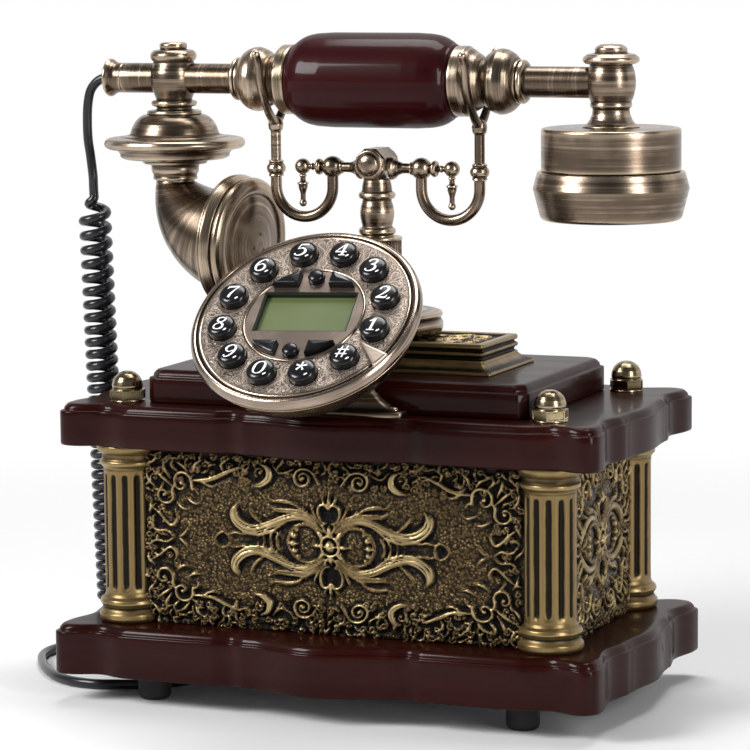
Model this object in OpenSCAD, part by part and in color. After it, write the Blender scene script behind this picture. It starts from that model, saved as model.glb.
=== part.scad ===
// French-style cradle telephone: carved body between two shaped boards, push-button dial,
// sprung cradle and turned handset. Millimetres, +Z up, front towards -Y.
// The row frame's origin lies on the standing surface, under the middle of the phone's box.

/* [Base plate] */
// Width of the base plate between its straight sides
base_w = 245; // [235:1:255]
// Depth of the base plate between its straight sides
base_d = 146; // [140:1:156]
// Thickness of the base plate
base_t = 21.5; // [18:0.5:26]
// Clear height under the base plate
foot_h = 12; // [9:0.5:15]
// Radius of each rubber foot
foot_r = 7; // [5:0.5:9]
// Radius of the rounded corner ears of both boards
ear_r = 6; // [4:0.5:9]
// How far the bow in the front and back edges stands out
bow = 8; // [3:0.5:10]
// Depth of the dips beside the corner ears
dip = 4; // [2:0.5:6]
// Thickness of the steel bottom cover
cover_t = 1.2; // [1:0.1:2]

/* [Body] */
// Height of the carved body between the boards
body_h = 76.5; // [70:0.5:90]
// Distance of a corner column's axis from the middle, sideways
col_x = 95.5; // [92:0.5:98]
// Distance of a corner column's axis from the middle, front to back
col_y = 49.5; // [47:0.5:52]
// How far the carved faces stand out from the column axes
face_out = 6; // [4:0.5:7]
// Wall of the carved body shell
shell_wall = 4; // [3:0.5:5]
// Depth of the sunk field in each carved face
field_depth = 1.4; // [0.8:0.1:2]
// Width of the border around each sunk field
border_w = 12; // [8:0.5:16]
// Radius of a column's shaft
col_r = 10.8; // [10:0.1:12]
// Radius of a column's base and head
col_base_r = 13.7; // [13:0.1:15]
// Flutes around a column
flutes = 12; // [8:1:16]

/* [Top board] */
// Width of the top board between its straight sides
top_w = 242; // [232:1:250]
// Depth of the top board between its straight sides
top_d = 135.5; // [130:0.5:146]
// Thickness of the top board
top_t = 18; // [14:0.5:22]
// Width of the upper tier
tier_w = 172; // [160:1:178]
// Depth of the upper tier
tier_d = 104; // [96:1:108]
// Height of the upper tier
tier_t = 14; // [11:0.5:17]
// Cut corners and top edge of the upper tier
tier_cut = 4; // [2:0.5:6]

/* [Pedestal] */
// Width of the pedestal's block
ped_w = 112; // [104:1:120]
// Depth of the pedestal's block
ped_d = 44; // [40:1:52]
// Height of the pedestal
ped_h = 12.5; // [11:0.5:15]
// How far the pedestal's flared foot stands out
ped_flare = 5.5; // [3:0.5:7]
// Radius of the round foot of the centre column
foot_disc_r = 28; // [24:0.5:30]
// Radius of the fluted centre column
guide_r = 10.4; // [10:0.1:12]
// Height of the fluted centre column's top above the pedestal
guide_h = 42.2; // [38:0.2:46]
// Bore of the centre column for the cradle's rod
guide_bore = 8; // [7:0.1:9]
// Radial clearance of the cradle's rod in that bore
slide_gap = 0.06; // [0.03:0.01:0.1]

/* [Cradle] */
// Height of the hub's middle above the centre column
hub_rise = 31.2; // [29:0.2:34]
// Distance of each hook fork from the middle
fork_x = 46.8; // [45:0.1:49]
// Distance of each large ball from the middle
ball_x = 20.4; // [19:0.1:22]
// Radius of the large balls
ball_r = 4.7; // [4:0.1:5.5]
// Diameter of the bent hook tube
hook_tube_d = 4.8; // [4.2:0.1:5]
// Travel of the cradle between hung up and lifted
cradle_travel = 6; // [4:0.5:7]

/* [Handset] */
// Height of the handset's axis above the hub's middle
handset_rise = 35.2; // [34.5:0.1:37]
// Half the length of the wooden grip
grip_half = 37; // [34:0.5:39]
// Radius of the wooden grip
grip_r = 20.2; // [18:0.1:22]
// Radius of the turned collars beside the grip
collar_r = 14.9; // [14:0.1:16]
// Radius of the rounded beads outside the necks
bead_r = 13.9; // [13.2:0.1:15]
// Radius of the handset's tubes
tube_r = 6.5; // [5.8:0.1:7]
// Distance of the transmitter's post from the middle
mic_x = 95; // [92:0.5:100]
// Distance of the receiver's post from the middle
ear_x = 105; // [101:0.5:109]
// Radius of the transmitter's broad disc
disc_r = 30.8; // [27:0.1:33]
// Radius of the receiver's cap
cap_r = 29.1; // [27:0.1:31]
// Largest radius of the receiver's ring
ring_r = 32.6; // [31:0.1:34]
// Radius of the horn's broad band
bell_r = 29.2; // [27:0.1:30]
// Distance of the end of the horn's elbow from the transmitter's post
elbow_len = 29; // [28:0.5:30]
// Turn of the horn from the handset's line towards the front, in degrees
horn_turn = 8.5; // [0:0.5:10]
// Dip of the horn's axis below level, in degrees
horn_dip = 3.2; // [0:0.2:4]

/* [Dial] */
// Height of the dial face's middle above the standing surface
dial_z = 171.3; // [168:0.1:175]
// Distance of the dial face's middle in front of the column
dial_y = 79.7; // [78:0.1:84]
// Tilt of the dial's face from level, in degrees
dial_tilt = 40; // [36:0.5:44]
// Turn of the dial about its own axis, in degrees
dial_roll = 2.4; // [0:0.2:5]
// Radius of the dial's rim
dial_r = 48.9; // [47:0.1:51]
// Radius of the ring of round keys
key_ring_r = 34.4; // [33.5:0.1:36]
// Radius of a round key
key_r = 5.9; // [5:0.1:6.5]
// Height of a key's top above the face
key_h = 4.6; // [3.6:0.1:5.5]
// Travel of a key
key_travel = 2; // [1:0.1:2.4]
// Gap around a key in its hole
key_gap = 0.3; // [0.2:0.05:0.5]
// Thickness of the dial's face plate
face_t = 2.5; // [2:0.1:3]
// Width of the display window
lcd_w = 41; // [36:0.5:42]
// Height of the display window
lcd_h = 22; // [18:0.5:24]

/* [Cord] */
// Diameter of the cord
cord_d = 4.2; // [3.6:0.1:4.4]
// Outer diameter of the curls
curl_od = 14.8; // [13:0.2:16]
// Curls in the cord
curls = 36; // [30:1:37]

/* [Hidden] */

// Segments of round shapes
$fn = 48;
// Gap between neighbouring bodies, and gap between pieces of one body
body_gap = 0.3;
seat_gap = 0.1;

// Levels of the stack, from the standing surface up
base_top = foot_h + base_t;
body_top = base_top + body_h;
board_top = body_top + top_t;
tier_top = board_top + tier_t;
ped_top = tier_top + ped_h;
guide_top = ped_top + guide_h;
hub_z = guide_top + hub_rise;
axis_z = hub_z + handset_rise;

// Faces of the carved body
shell_hw = col_x + face_out;
shell_hd = col_y + face_out;

// Bores and rods that share a line
rod_r = 2;
rod_hole_r = 2.25;
nipple_r = 7;
nipple_hole_r = nipple_r + seat_gap;
slide_r = guide_bore / 2 - slide_gap;
slide_foot_z = body_top - 12;

// End of the handset's left tube, and depth of the dial's widest line below its face
ferrule_x = mic_x + 31.4;
lip_drop = 4;

// The row frame's origin in the bench frame, whose Z axis is the centre column's
rim_front = dial_y - lip_drop * sin(dial_tilt) + dial_r * cos(dial_tilt);
mid_x = (ear_x + ring_r - ferrule_x - 0.4) / 2;
mid_y = (base_d / 2 + bow - rim_front) / 2;

// Shapes used by several pieces ------------------------------------------------------------

// Moves a piece from the bench frame into the row frame.
module place() {
    translate([-mid_x, -mid_y, 0]) children();
}

// Wave of a board's edge at distance a from the middle of a side: a bow of half width b in
// the middle, a small dip beside it, and a deeper dip from c to d before the corner ear.
function wave(a, b, c, d, bow_out, dip_in) =
    a < b ? bow_out * (1 + cos(180 * a / b)) / 2 :
    a > c && a < d ? -dip_in * pow(sin(180 * (a - c) / (d - c)), 2) :
    a < b + small_dip_w ? -small_dip * pow(sin(180 * (a - b) / small_dip_w), 2) : 0;
small_dip_w = 16;
small_dip = 2.4;

// Places along half a side where the outline needs a point.
function stations(b, c, d) = concat([for (i = [0:7]) b * i / 7],
    c > b + small_dip_w ? [for (i = [1:4]) b + small_dip_w * i / 4] : [],
    [for (i = [0:6]) c + (d - c) * i / 6]);

// One side of a board from its left end to its right end, drawn along +X at distance hd.
function side_points(hd, last, b, c, d, bow_out, dip_in) =
    let (s = concat(stations(b, c, d), last > d ? [last] : []), n = len(s))
    concat([for (i = [n - 1:-1:1]) [-s[i], -hd - wave(s[i], b, c, d, bow_out, dip_in)]],
           [for (i = [0:n - 1]) [s[i], -hd - wave(s[i], b, c, d, bow_out, dip_in)]]);

function turned(points, a) =
    [for (p = points) [p[0] * cos(a) - p[1] * sin(a), p[0] * sin(a) + p[1] * cos(a)]];

function corner_points(x, y, r, a) =
    [for (i = [1:4]) [x + r * cos(a + i * 18), y + r * sin(a + i * 18)]];

// Closed outline of a board: bowed front and back, gently bowed ends, round ears.
function board_outline(w, d, bow_out, dip_in, inset) =
    let (hw = w / 2 - inset, hd = d / 2 - inset, r = ear_r,
         long = side_points(hd, hw - r, 32, hw - r - 28, hw - r, bow_out, dip_in),
         short = side_points(hw, hd - r, 24, 26, hd - r - 3, bow_out / 3, dip_in * 3 / 4))
    concat(long, corner_points(hw - r, -hd + r, r, -90),
           turned(short, 90), corner_points(hw - r, hd - r, r, 0),
           turned(long, 180), corner_points(-hw + r, hd - r, r, 90),
           turned(short, 270), corner_points(-hw + r, -hd + r, r, 180));

// A board with two small steps at its top edge: three outlines that share one underside.
module shaped_board(w, d, t, bow_out, dip_in, step) {
    linear_extrude(t - 2 * step) polygon(board_outline(w, d, bow_out, dip_in, 0));
    linear_extrude(t - step) polygon(board_outline(w, d, bow_out, dip_in, step * 0.8));
    linear_extrude(t) polygon(board_outline(w, d, bow_out, dip_in, step * 2));
}

module at_columns() {
    for (x = [-col_x, col_x], y = [-col_y, col_y]) translate([x, y, 0]) children();
}

module pipe(h, r_out, r_in) {
    difference() {
        cylinder(h = h, r = r_out);
        translate([0, 0, -1]) cylinder(h = h + 2, r = r_in);
    }
}

// A torus around Z.
module ring(major, minor, z = 0) {
    translate([0, 0, z]) rotate_extrude() translate([major, 0]) circle(r = minor, $fn = 24);
}

// Turns a profile of [radius, height] points around Z.
module turned_profile(points) {
    rotate_extrude() polygon(points);
}

// Handset frame: its local Z axis runs along +X on the handset's axis.
module on_handset() {
    place() translate([0, 0, axis_z]) rotate([0, 90, 0]) children();
}

// Dial frame: face in the XY plane, outward normal along Z, X to the right.
module on_dial() {
    place() translate([0, -dial_y, dial_z]) rotate([dial_tilt, 0, 0])
        rotate([0, 0, dial_roll]) children();
}

// Base and body ------------------------------------------------------------------------------

// Window through the base plate, and the wood left beside and before it
window_side = 47.5;
window_front = 31;
window_w = base_w - 2 * window_side;
window_d = base_d - 2 * window_front;

module base_plate() {
    color("#3a120e") place() difference() {
        translate([0, 0, foot_h]) shaped_board(base_w, base_d, base_t, bow, dip, 1.4);
        translate([-window_w / 2, -window_d / 2, foot_h - 1]) cube([window_w, window_d, base_t + 2]);
        at_columns() translate([0, 0, foot_h - 1]) cylinder(h = base_t + 2, r = rod_hole_r);
        translate([-cover_w / 2 - seat_gap, -cover_d / 2 - seat_gap, foot_h - 1])
            cube([cover_w + 2 * seat_gap, cover_d + 2 * seat_gap, 1 + cover_t]);
    }
}

foot_x = col_x - 11.5;
foot_y = col_y + 2;
cover_w = 2 * col_x + 14;
cover_d = 2 * col_y + 14;
socket_x = -window_w / 2 + 9;
socket_y = -window_d / 2 + 22;

module rubber_feet() {
    color("#151515") place() for (x = [-foot_x, foot_x], y = [-foot_y, foot_y])
        translate([x, y, 0]) {
            cylinder(h = 2, r1 = foot_r - 1, r2 = foot_r);
            translate([0, 0, 2]) cylinder(h = foot_h - 2, r = foot_r);
        }
}

module bottom_cover() {
    color("#6f7072") place() difference() {
        translate([-cover_w / 2, -cover_d / 2, foot_h]) cube([cover_w, cover_d, cover_t]);
        at_columns() translate([0, 0, foot_h - 1]) cylinder(h = cover_t + 2, r = rod_hole_r);
        for (i = [-4:4]) translate([sounder_x + i * 4, sounder_y, foot_h - 1])
            cylinder(h = cover_t + 2, r = 1.2);
        translate([socket_x - socket_w / 2 - seat_gap, socket_y - socket_w / 2 - seat_gap, foot_h - 1])
            cube([socket_w + 2 * seat_gap, socket_w + 2 * seat_gap, cover_t + 2]);
    }
}

column_base_h = 12;
column_head_h = 10.5;

// The carved shell: four walls with sunk fields, notched at its corners for the columns.
module body_shell() {
    inner_w = 2 * (shell_hw - shell_wall);
    inner_d = 2 * (shell_hd - shell_wall);
    corner_block = 34;
    field_h = body_h - 2 * border_w;
    color("#8a6a2c") place() translate([0, 0, base_top]) difference() {
        translate([-shell_hw, -shell_hd, 0]) cube([2 * shell_hw, 2 * shell_hd, body_h]);
        box_on(inner_w - corner_block, inner_d, -1, body_h + 2);
        box_on(inner_w, inner_d - corner_block, -1, body_h + 2);
        at_columns() {
            translate([0, 0, -1]) cylinder(h = body_h + 2, r = col_r + seat_gap);
            translate([0, 0, -1]) cylinder(h = column_base_h + 1 + seat_gap, r = col_base_r + seat_gap);
            translate([0, 0, body_h - column_head_h - seat_gap])
                cylinder(h = column_head_h + 1, r = col_base_r + seat_gap);
        }
        for (y = [-shell_hd - 1, shell_hd - field_depth])
            translate([-col_x + col_r + border_w, y, border_w])
                cube([2 * (col_x - col_r - border_w), field_depth + 1, field_h]);
        for (x = [-shell_hw - 1, shell_hw - field_depth])
            translate([x, -col_y + col_r + border_w, border_w])
                cube([field_depth + 1, 2 * (col_y - col_r - border_w), field_h]);
        translate([jack_x - jack_w / 2 - seat_gap, shell_hd - shell_wall - 1, jack_z - base_top - seat_gap])
            cube([jack_w + 2 * seat_gap, shell_wall + 2, jack_h + 2 * seat_gap]);
    }
    // Rosette and scroll bosses on the long faces.
    color("#8a6a2c") place() for (s = [-1, 1])
        translate([0, s * (shell_hd - field_depth), base_top + body_h / 2]) rotate([90, 0, 0]) {
            translate([0, 0, -field_depth]) cylinder(h = 2 * field_depth, r = 9);
            for (a = [0:45:315]) rotate(a) translate([13, 0, -field_depth])
                cylinder(h = 1.6 * field_depth, r = 3.6);
        }
}

// Column with a two-ring base, a fluted shaft and a two-ring head.
module corner_column() {
    shaft_top = body_h - column_head_h;
    difference() {
        turned_profile([[0, 0], [col_base_r - 1, 0], [col_base_r, 1.6], [col_base_r, 3.4],
            [col_base_r - 1.2, 4.8], [col_base_r - 1.8, 6], [col_base_r - 1.2, 6.6],
            [col_base_r - 0.4, 8], [col_base_r - 0.8, 9.6], [col_r + 0.6, 10.6],
            [col_r, column_base_h], [col_r, shaft_top],
            [col_r + 0.5, shaft_top + 0.8], [col_r + 1.7, shaft_top + 2],
            [col_r + 1.7, shaft_top + 3.2], [col_r + 0.7, shaft_top + 4.2],
            [col_r + 0.7, shaft_top + 6.2], [col_base_r - 0.6, shaft_top + 7.4],
            [col_base_r, shaft_top + 8.6], [col_base_r, body_h], [0, body_h]]);
        translate([0, 0, -1]) cylinder(h = body_h + 2, r = rod_hole_r);
        for (i = [0:flutes - 1]) rotate((i + 0.5) * 360 / flutes)
            translate([col_r + 0.5, 0, column_base_h + 3])
                cylinder(h = shaft_top - column_base_h - 6, r = 1.7, $fn = 24);
    }
}

module corner_columns() {
    color("#a8843a") place() translate([0, 0, base_top]) at_columns() corner_column();
}

nut_z = board_top;

// Long bolts that clamp cover, boards, columns and nuts together.
module tie_rods() {
    head_h = 2.6;
    color("#8d8f92") place() at_columns() {
        translate([0, 0, foot_h - head_h]) cylinder(h = head_h, r = 4);
        translate([0, 0, foot_h]) cylinder(h = nut_z - foot_h + 6, r = rod_r);
    }
}

module acorn_nuts() {
    color("#b8a47a") place() at_columns() translate([0, 0, nut_z]) difference() {
        union() {
            cylinder(h = 0.8, r = 7.2);
            translate([0, 0, 0.8]) cylinder(h = 4, r = 7.9, $fn = 6);
            turned_profile([[0, 4.8], [6.8, 4.8], [6.6, 5.4], [6.6, 6.6], [6.2, 8.6], [5.3, 10.4],
                [3.9, 11.8], [2.1, 12.7], [0, 13]]);
        }
        translate([0, 0, -1]) cylinder(h = 8, r = rod_r + 0.05);
    }
}

module top_board() {
    color("#3a120e") place() difference() {
        translate([0, 0, body_top]) shaped_board(top_w, top_d, top_t, bow * 3 / 4, dip, 1.6);
        at_columns() translate([0, 0, body_top - 1]) cylinder(h = top_t + 2, r = rod_hole_r);
        translate([0, 0, body_top - 1]) cylinder(h = top_t + 2, r = nipple_hole_r);
    }
}

function cut_rectangle(hw, hd, c) = [[-hw + c, -hd], [hw - c, -hd], [hw, -hd + c], [hw, hd - c],
    [hw - c, hd], [-hw + c, hd], [-hw, hd - c], [-hw, -hd + c]];

module upper_tier() {
    color("#43150f") place() difference() {
        union() {
            translate([0, 0, board_top]) linear_extrude(tier_t - 3)
                polygon(cut_rectangle(tier_w / 2, tier_d / 2, tier_cut));
            translate([0, 0, board_top + tier_t - 3]) linear_extrude(1.5)
                polygon(cut_rectangle(tier_w / 2 - 1.2, tier_d / 2 - 1.2, tier_cut));
            translate([0, 0, board_top + tier_t - 1.5]) linear_extrude(1.5)
                polygon(cut_rectangle(tier_w / 2 - 3, tier_d / 2 - 3, tier_cut));
        }
        translate([0, 0, board_top - 1]) cylinder(h = tier_t + 2, r = nipple_hole_r);
    }
}

module box_on(w, d, z, h) {
    translate([-w / 2, -d / 2, z]) cube([w, d, h]);
}

// Stepped pedestal with a flared foot, two ribs and a raised border on its top.
module pedestal() {
    color("#b08a35") place() translate([0, 0, tier_top]) difference() {
        union() {
            for (i = [0:3]) let (out = ped_flare * pow(1 - i / 4, 2))
                box_on(ped_w + 2 * out, ped_d + 2 * out, i * 1.1, i == 0 ? 1.6 : 1.5);
            box_on(ped_w, ped_d, 4, 1.4);
            box_on(ped_w - 2, ped_d - 2, 5, ped_h - 6);
            box_on(ped_w, ped_d, 7.4, 1.6);
            difference() {
                box_on(ped_w, ped_d, ped_h - 2.4, 2.4);
                box_on(ped_w - 12, ped_d - 12, ped_h - 1.2, 2);
            }
            translate([0, 0, ped_h - 1.4]) cylinder(h = 1.4, r = 17);
        }
        translate([0, 0, -1]) cylinder(h = ped_h + 2, r = nipple_hole_r);
    }
}

// Cradle guide -------------------------------------------------------------------------------

pocket_floor = ped_top + 12;
pocket_r = 7.2;
shoulder_z = guide_top - 8;
disc_h = 10.5;
teeth = 44;

// Star outline of the fluted shaft.
function fluted_outline(r, depth, n) =
    [for (i = [0:2 * n - 1]) let (q = i % 2 == 0 ? r : r - depth, a = i * 180 / n)
        [q * cos(a), q * sin(a)]];

module fluted_column() {
    color("#9c8a74") place() difference() {
        union() {
            translate([0, 0, body_top - 4]) cylinder(h = ped_top - body_top + 4 + 1, r = nipple_r);
            translate([0, 0, ped_top]) turned_profile([[0, 0], [14, 0], [14, 0.4],
                [foot_disc_r - 3, 0.4], [foot_disc_r - 1, 2], [foot_disc_r, 4], [foot_disc_r, 6.6],
                [foot_disc_r - 1.2, 7.2], [foot_disc_r - 1.2, 8], [foot_disc_r, 8.6],
                [foot_disc_r - 0.6, disc_h], [18, disc_h], [14, 11.5], [12, 14], [11.4, 17], [0, 17]]);
            translate([0, 0, ped_top + 16.5]) linear_extrude(guide_h - 16.5 - 1)
                polygon(fluted_outline(guide_r, 0.8, teeth));
            translate([0, 0, guide_top - 1.2]) cylinder(h = 1.2, r = guide_r - 0.4);
        }
        translate([0, 0, body_top - 5]) cylinder(h = guide_top - body_top + 6, r = guide_bore / 2);
        translate([0, 0, pocket_floor]) cylinder(h = guide_top - pocket_floor + 1, r = pocket_r);
    }
}

module hook_spring() {
    color("#8d8f92") place() translate([0, 0, pocket_floor + 0.1])
        pipe(shoulder_z - pocket_floor - 0.4, pocket_r - 0.6, guide_bore / 2 + 0.6);
}

switch_h = 8;
switch_top = slide_foot_z - body_gap;

// Switch under the cradle's rod, on a strap that hangs from the top board.
module hook_switch() {
    color("#20262b") place() {
        translate([-16, -5, switch_top - switch_h]) cube([32, 10, switch_h]);
        for (s = [-1, 1]) translate([s * 17.2 - 1.2, -5, switch_top - switch_h])
            cube([2.4, 10, body_top - switch_top + switch_h]);
    }
}

board_z = foot_h + cover_t + 10;
board_thick = 1.6;
spacer_in = 5;

// Sounder in the left back corner of the base plate's window
sounder_r = 22;
sounder_x = -window_w / 2 + sounder_r + 11;
sounder_y = window_d / 2 - sounder_r - 8;

// Circuit board in the rest of that window
board_left = sounder_x + sounder_r + 10;
board_right = window_w / 2 - 9;
board_half_d = window_d / 2 - 6;

// Circuit board on four spacers that stand on the bottom cover.
module main_board() {
    mid = (board_left + board_right) / 2;
    color("#1f6b3a") place() {
        translate([board_left, -board_half_d, board_z])
            cube([board_right - board_left, 2 * board_half_d, board_thick]);
        for (x = [board_left + spacer_in, board_right - spacer_in], s = [-1, 1])
            translate([x, s * (board_half_d - spacer_in), foot_h + cover_t])
                cylinder(h = board_z - foot_h - cover_t, r = 2.5);
        translate([mid - 18, -10, board_z + board_thick]) cube([14, 10, 2.4]);
        translate([mid + 8, -board_half_d + 10, board_z + board_thick]) cylinder(h = 11, r = 5);
        translate([mid + 2, 8, board_z + board_thick]) cube([20, 16, 9]);
    }
}

// Sounder over its row of holes in the bottom cover.
module ringer() {
    color("#2b2b2e") place() translate([sounder_x, sounder_y, foot_h + cover_t]) {
        cylinder(h = 3, r = sounder_r);
        translate([0, 0, 3]) cylinder(h = 5, r1 = sounder_r - 2, r2 = sounder_r / 2 + 1);
        translate([0, 0, 8]) cylinder(h = 5, r = sounder_r / 2);
    }
}

jack_x = 40;
jack_z = 42;
jack_w = 16;
jack_h = 14;
jack_depth = 14;

// Line socket in the back wall.
module line_jack() {
    color("#1b1b1d") place() translate([jack_x, shell_hd - jack_depth, jack_z]) difference() {
        union() {
            translate([-jack_w / 2, 0, 0]) cube([jack_w, jack_depth, jack_h]);
            translate([-jack_w / 2 - 2, jack_depth - shell_wall - 1.5 - seat_gap, -2])
                cube([jack_w + 4, 1.5, jack_h + 4]);
        }
        translate([-5, 3, 3]) cube([10, jack_depth, 7]);
        translate([-2, 3, 9]) cube([4, jack_depth, 2.5]);
    }
}

socket_w = 12;

// Socket under the phone that the handset cord's tail goes up into.
module cord_socket() {
    color("#1b1b1d") place() translate([socket_x, socket_y, foot_h]) difference() {
        union() {
            translate([-socket_w / 2, -socket_w / 2, 0]) cube([socket_w, socket_w, 12]);
            translate([-socket_w / 2 - 2, -socket_w / 2 - 2, cover_t])
                cube([socket_w + 4, socket_w + 4, 1.5]);
        }
        translate([0, 0, -1]) cylinder(h = 6, r = cord_d / 2 + 0.05);
    }
}

// Dial ---------------------------------------------------------------------------------------

housing_wall = 2;
bowl_depth = 31;

function bowl_profile(inset) = [[0, -bowl_depth + inset], [21 - inset, -bowl_depth + 1 + inset],
    [29 - inset, -27.5 + inset * 0.7], [35.4 - inset, -22.5], [40.8 - inset, -17],
    [45.2 - inset, -11], [47.6 - inset, -6.5]];

// Bowl behind the face, open towards the face.
module dial_housing() {
    top = -lip_drop - 1.5;
    color("#7b6551") on_dial() difference() {
        turned_profile(concat(bowl_profile(0), [[dial_r - 0.6, top], [0, top]]));
        turned_profile(concat([[0, -bowl_depth + housing_wall]], [for (i = [1:6])
            bowl_profile(housing_wall)[i]], [[dial_r - 2.6, top + 1], [0, top + 1]]));
        translate([0, 0, -bowl_depth - 1]) cylinder(h = housing_wall + 3, r = 5);
    }
}

// Foot that carries the dial's bowl on the ledge in front of the upper tier.
module dial_stem() {
    ledge_y = -tier_d / 2;
    color("#7b6551") place() difference() {
        union() {
            hull() {
                translate([0, ledge_y - 7, board_top]) linear_extrude(2) square([62, 11], center = true);
                for (s = [-1, 1]) translate([s * 30, ledge_y - 7, board_top])
                    cylinder(h = 2, r = 5.5, $fn = 32);
            }
            hull() {
                translate([0, ledge_y - 7, board_top + 2]) linear_extrude(1) square([60, 10], center = true);
                translate([0, ledge_y - 6, board_top + 10]) linear_extrude(1) square([44, 9], center = true);
            }
            hull() {
                translate([0, ledge_y - 6, board_top + 10]) linear_extrude(1) square([44, 9], center = true);
                translate([0, ledge_y - 9, board_top + 24]) linear_extrude(1) square([24, 8], center = true);
            }
        }
        translate([0, -dial_y, dial_z]) rotate([dial_tilt, 0, 0])
            turned_profile(concat([[0, -bowl_depth - 0.05]], [for (i = [1:6])
                bowl_profile(-0.05)[i]], [[dial_r, 0], [0, 0]]));
    }
}

// Place of round key i on the dial, upright, counted anticlockwise from key 1.
module key_place(i) {
    a = 30 * i - 15;
    rotate(a) translate([key_ring_r, 0, 0]) rotate(-a) children();
}

panel_r = 25.5;

// Leaf outline of a corner function key: inside the panel's circle, outside two straight edges.
module leaf(inset) {
    intersection() {
        circle(r = panel_r - 1.6 - inset);
        translate([6.8 + inset, lcd_h / 2 + 2 + 3 + inset]) square([20, 20]);
    }
}

function leaf_turn(name) = name == "upper_right_key" ? [0, 0] : name == "upper_left_key" ? [1, 0] :
    name == "lower_right_key" ? [0, 1] : [1, 1];

small_key_r = 3.3;
small_key_y = 20.6;

// Face plate with its rounded lip, a display window, a raised oval and a hole for each key.
module dial_face() {
    color("#a5866c") on_dial() difference() {
        union() {
            turned_profile([[0, -face_t], [dial_r - 3, -face_t], [dial_r - 3, -lip_drop - 1.4],
                [dial_r - 0.8, -lip_drop - 1.4], [dial_r, -lip_drop - 0.4], [dial_r, -lip_drop + 0.6],
                [dial_r - 0.5, -1.6], [dial_r - 1.6, -0.3], [dial_r - 2.8, 0.1],
                [dial_r - 3.8, 0], [dial_r - 4.2, -0.6], [dial_r - 4.8, -0.6], [dial_r - 5.2, 0], [0, 0]]);
            ring(panel_r, 0.7, 0.1);
        }
        for (i = [0:11]) key_place(i) translate([0, 0, -face_t - 1])
            cylinder(h = face_t + 3, r = key_r + key_gap);
        for (s = [-1, 1]) translate([0, s * small_key_y, -face_t - 1])
            cylinder(h = face_t + 3, r = small_key_r + key_gap);
        for (mx = [0, 1], my = [0, 1]) mirror([mx, 0, 0]) mirror([0, my, 0])
            translate([0, 0, -face_t - 1]) linear_extrude(face_t + 3) leaf(-key_gap);
        translate([-lcd_w / 2, -lcd_h / 2 + 2, -face_t - 1]) cube([lcd_w, lcd_h, face_t + 3]);
    }
}

// Curved plain triangle let down on the face between keys 1 and #.
module finger_stop() {
    color("#c9a68a") on_dial() translate([0, 0, 0.15]) linear_extrude(1.2) intersection() {
        circle(r = dial_r - 2.8);
        difference() {
            polygon([[28.8, -15.6], [47, -23], [44, -31.5]]);
            key_place(0) circle(r = key_r + 1);
            key_place(-1) circle(r = key_r + 1);
        }
    }
}

lcd_level = -face_t - 0.1;

module lcd_glass() {
    color("#8f9c84") on_dial() translate([-lcd_w / 2 - 1.5, -lcd_h / 2 + 0.5, lcd_level - 1.2])
        cube([lcd_w + 3, lcd_h + 3, 1.2]);
}

// Ends of the resting plungers, and top of the board that a pressed key stays clear of
plunger_end = -face_t - key_travel - 3;
pad_top = plunger_end - key_travel - body_gap;
pad_thick = 1.6;

// Board that carries the key contacts and the display, on posts under the face plate.
module keypad_board() {
    root = pad_top - 1;
    color("#1f6b3a") on_dial() difference() {
        union() {
            translate([0, 0, pad_top - pad_thick]) cylinder(h = pad_thick, r = dial_r - 8);
            for (a = [0:90:270]) rotate(a) translate([dial_r - 11.5, 0, root])
                cylinder(h = -face_t - 0.05 - root, r = 1.6);
            translate([-lcd_w / 2 - 1.5, -lcd_h / 2 + 0.5, root])
                cube([lcd_w + 3, lcd_h + 3, lcd_level - 1.3 - root]);
        }
        translate([0, 0, pad_top - pad_thick - 1]) cylinder(h = pad_thick + 2, r = 3);
    }
}

flange_top = -face_t - 0.3;

// Round key: domed cap, retaining flange under the plate and a plunger.
module round_key(r, h) {
    translate([0, 0, flange_top - 1]) cylinder(h = h - flange_top - 0.6, r = r);
    translate([0, 0, h - 1.6]) turned_profile([[0, 0], [r, 0], [r - 0.5, 0.7], [r - 1.4, 1.2],
        [r * 0.5, 1.5], [0, 1.6]]);
    translate([0, 0, flange_top - 1]) cylinder(h = 1, r = r + key_gap + 0.6);
    translate([0, 0, plunger_end]) cylinder(h = flange_top - 0.9 - plunger_end, r = 1.2);
}

module dial_key(i) {
    color("#141416") on_dial() key_place(i) round_key(key_r, key_h);
}

module leaf_key(name) {
    t = leaf_turn(name);
    color("#141416") on_dial() mirror([t[0], 0, 0]) mirror([0, t[1], 0]) {
        translate([0, 0, flange_top - 1]) linear_extrude(3.6 - flange_top) leaf(0);
        translate([0, 0, 2.6]) linear_extrude(0.6) leaf(0.7);
        translate([0, 0, flange_top - 1]) linear_extrude(1) leaf(-key_gap - 0.6);
        translate([10.5, lcd_h / 2 + 8, plunger_end])
            cylinder(h = flange_top - 0.9 - plunger_end, r = 1);
    }
}

module small_key(s) {
    color("#141416") on_dial() translate([0, s * small_key_y, 0]) round_key(small_key_r, 3.2);
}

// Cradle -------------------------------------------------------------------------------------

// Stem: rod in the column's bore, shoulder on the spring, turned baluster under the hub.
module cradle_stem() {
    color("#8f8577") place() {
        translate([0, 0, slide_foot_z]) cylinder(h = shoulder_z - slide_foot_z, r = slide_r);
        translate([0, 0, shoulder_z]) cylinder(h = guide_top - shoulder_z + 0.8, r = pocket_r - 0.3);
        translate([0, 0, guide_top]) turned_profile([[0, 0.7], [6.6, 0.7], [7.8, 1.2], [8, 2.3],
            [7.8, 3.4], [6.4, 4], [6.6, 5], [7.2, 8], [7.3, 10.4], [6.9, 13], [6.1, 15.6], [6.4, 16.2],
            [7.7, 16.6], [8, 17.8], [7.7, 18.8], [6.5, 19.2], [6.6, 20], [6.2, 22], [5.7, 24.4],
            [5.7, hub_rise - 6.6], [0, hub_rise - 6.6]]);
    }
}

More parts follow.
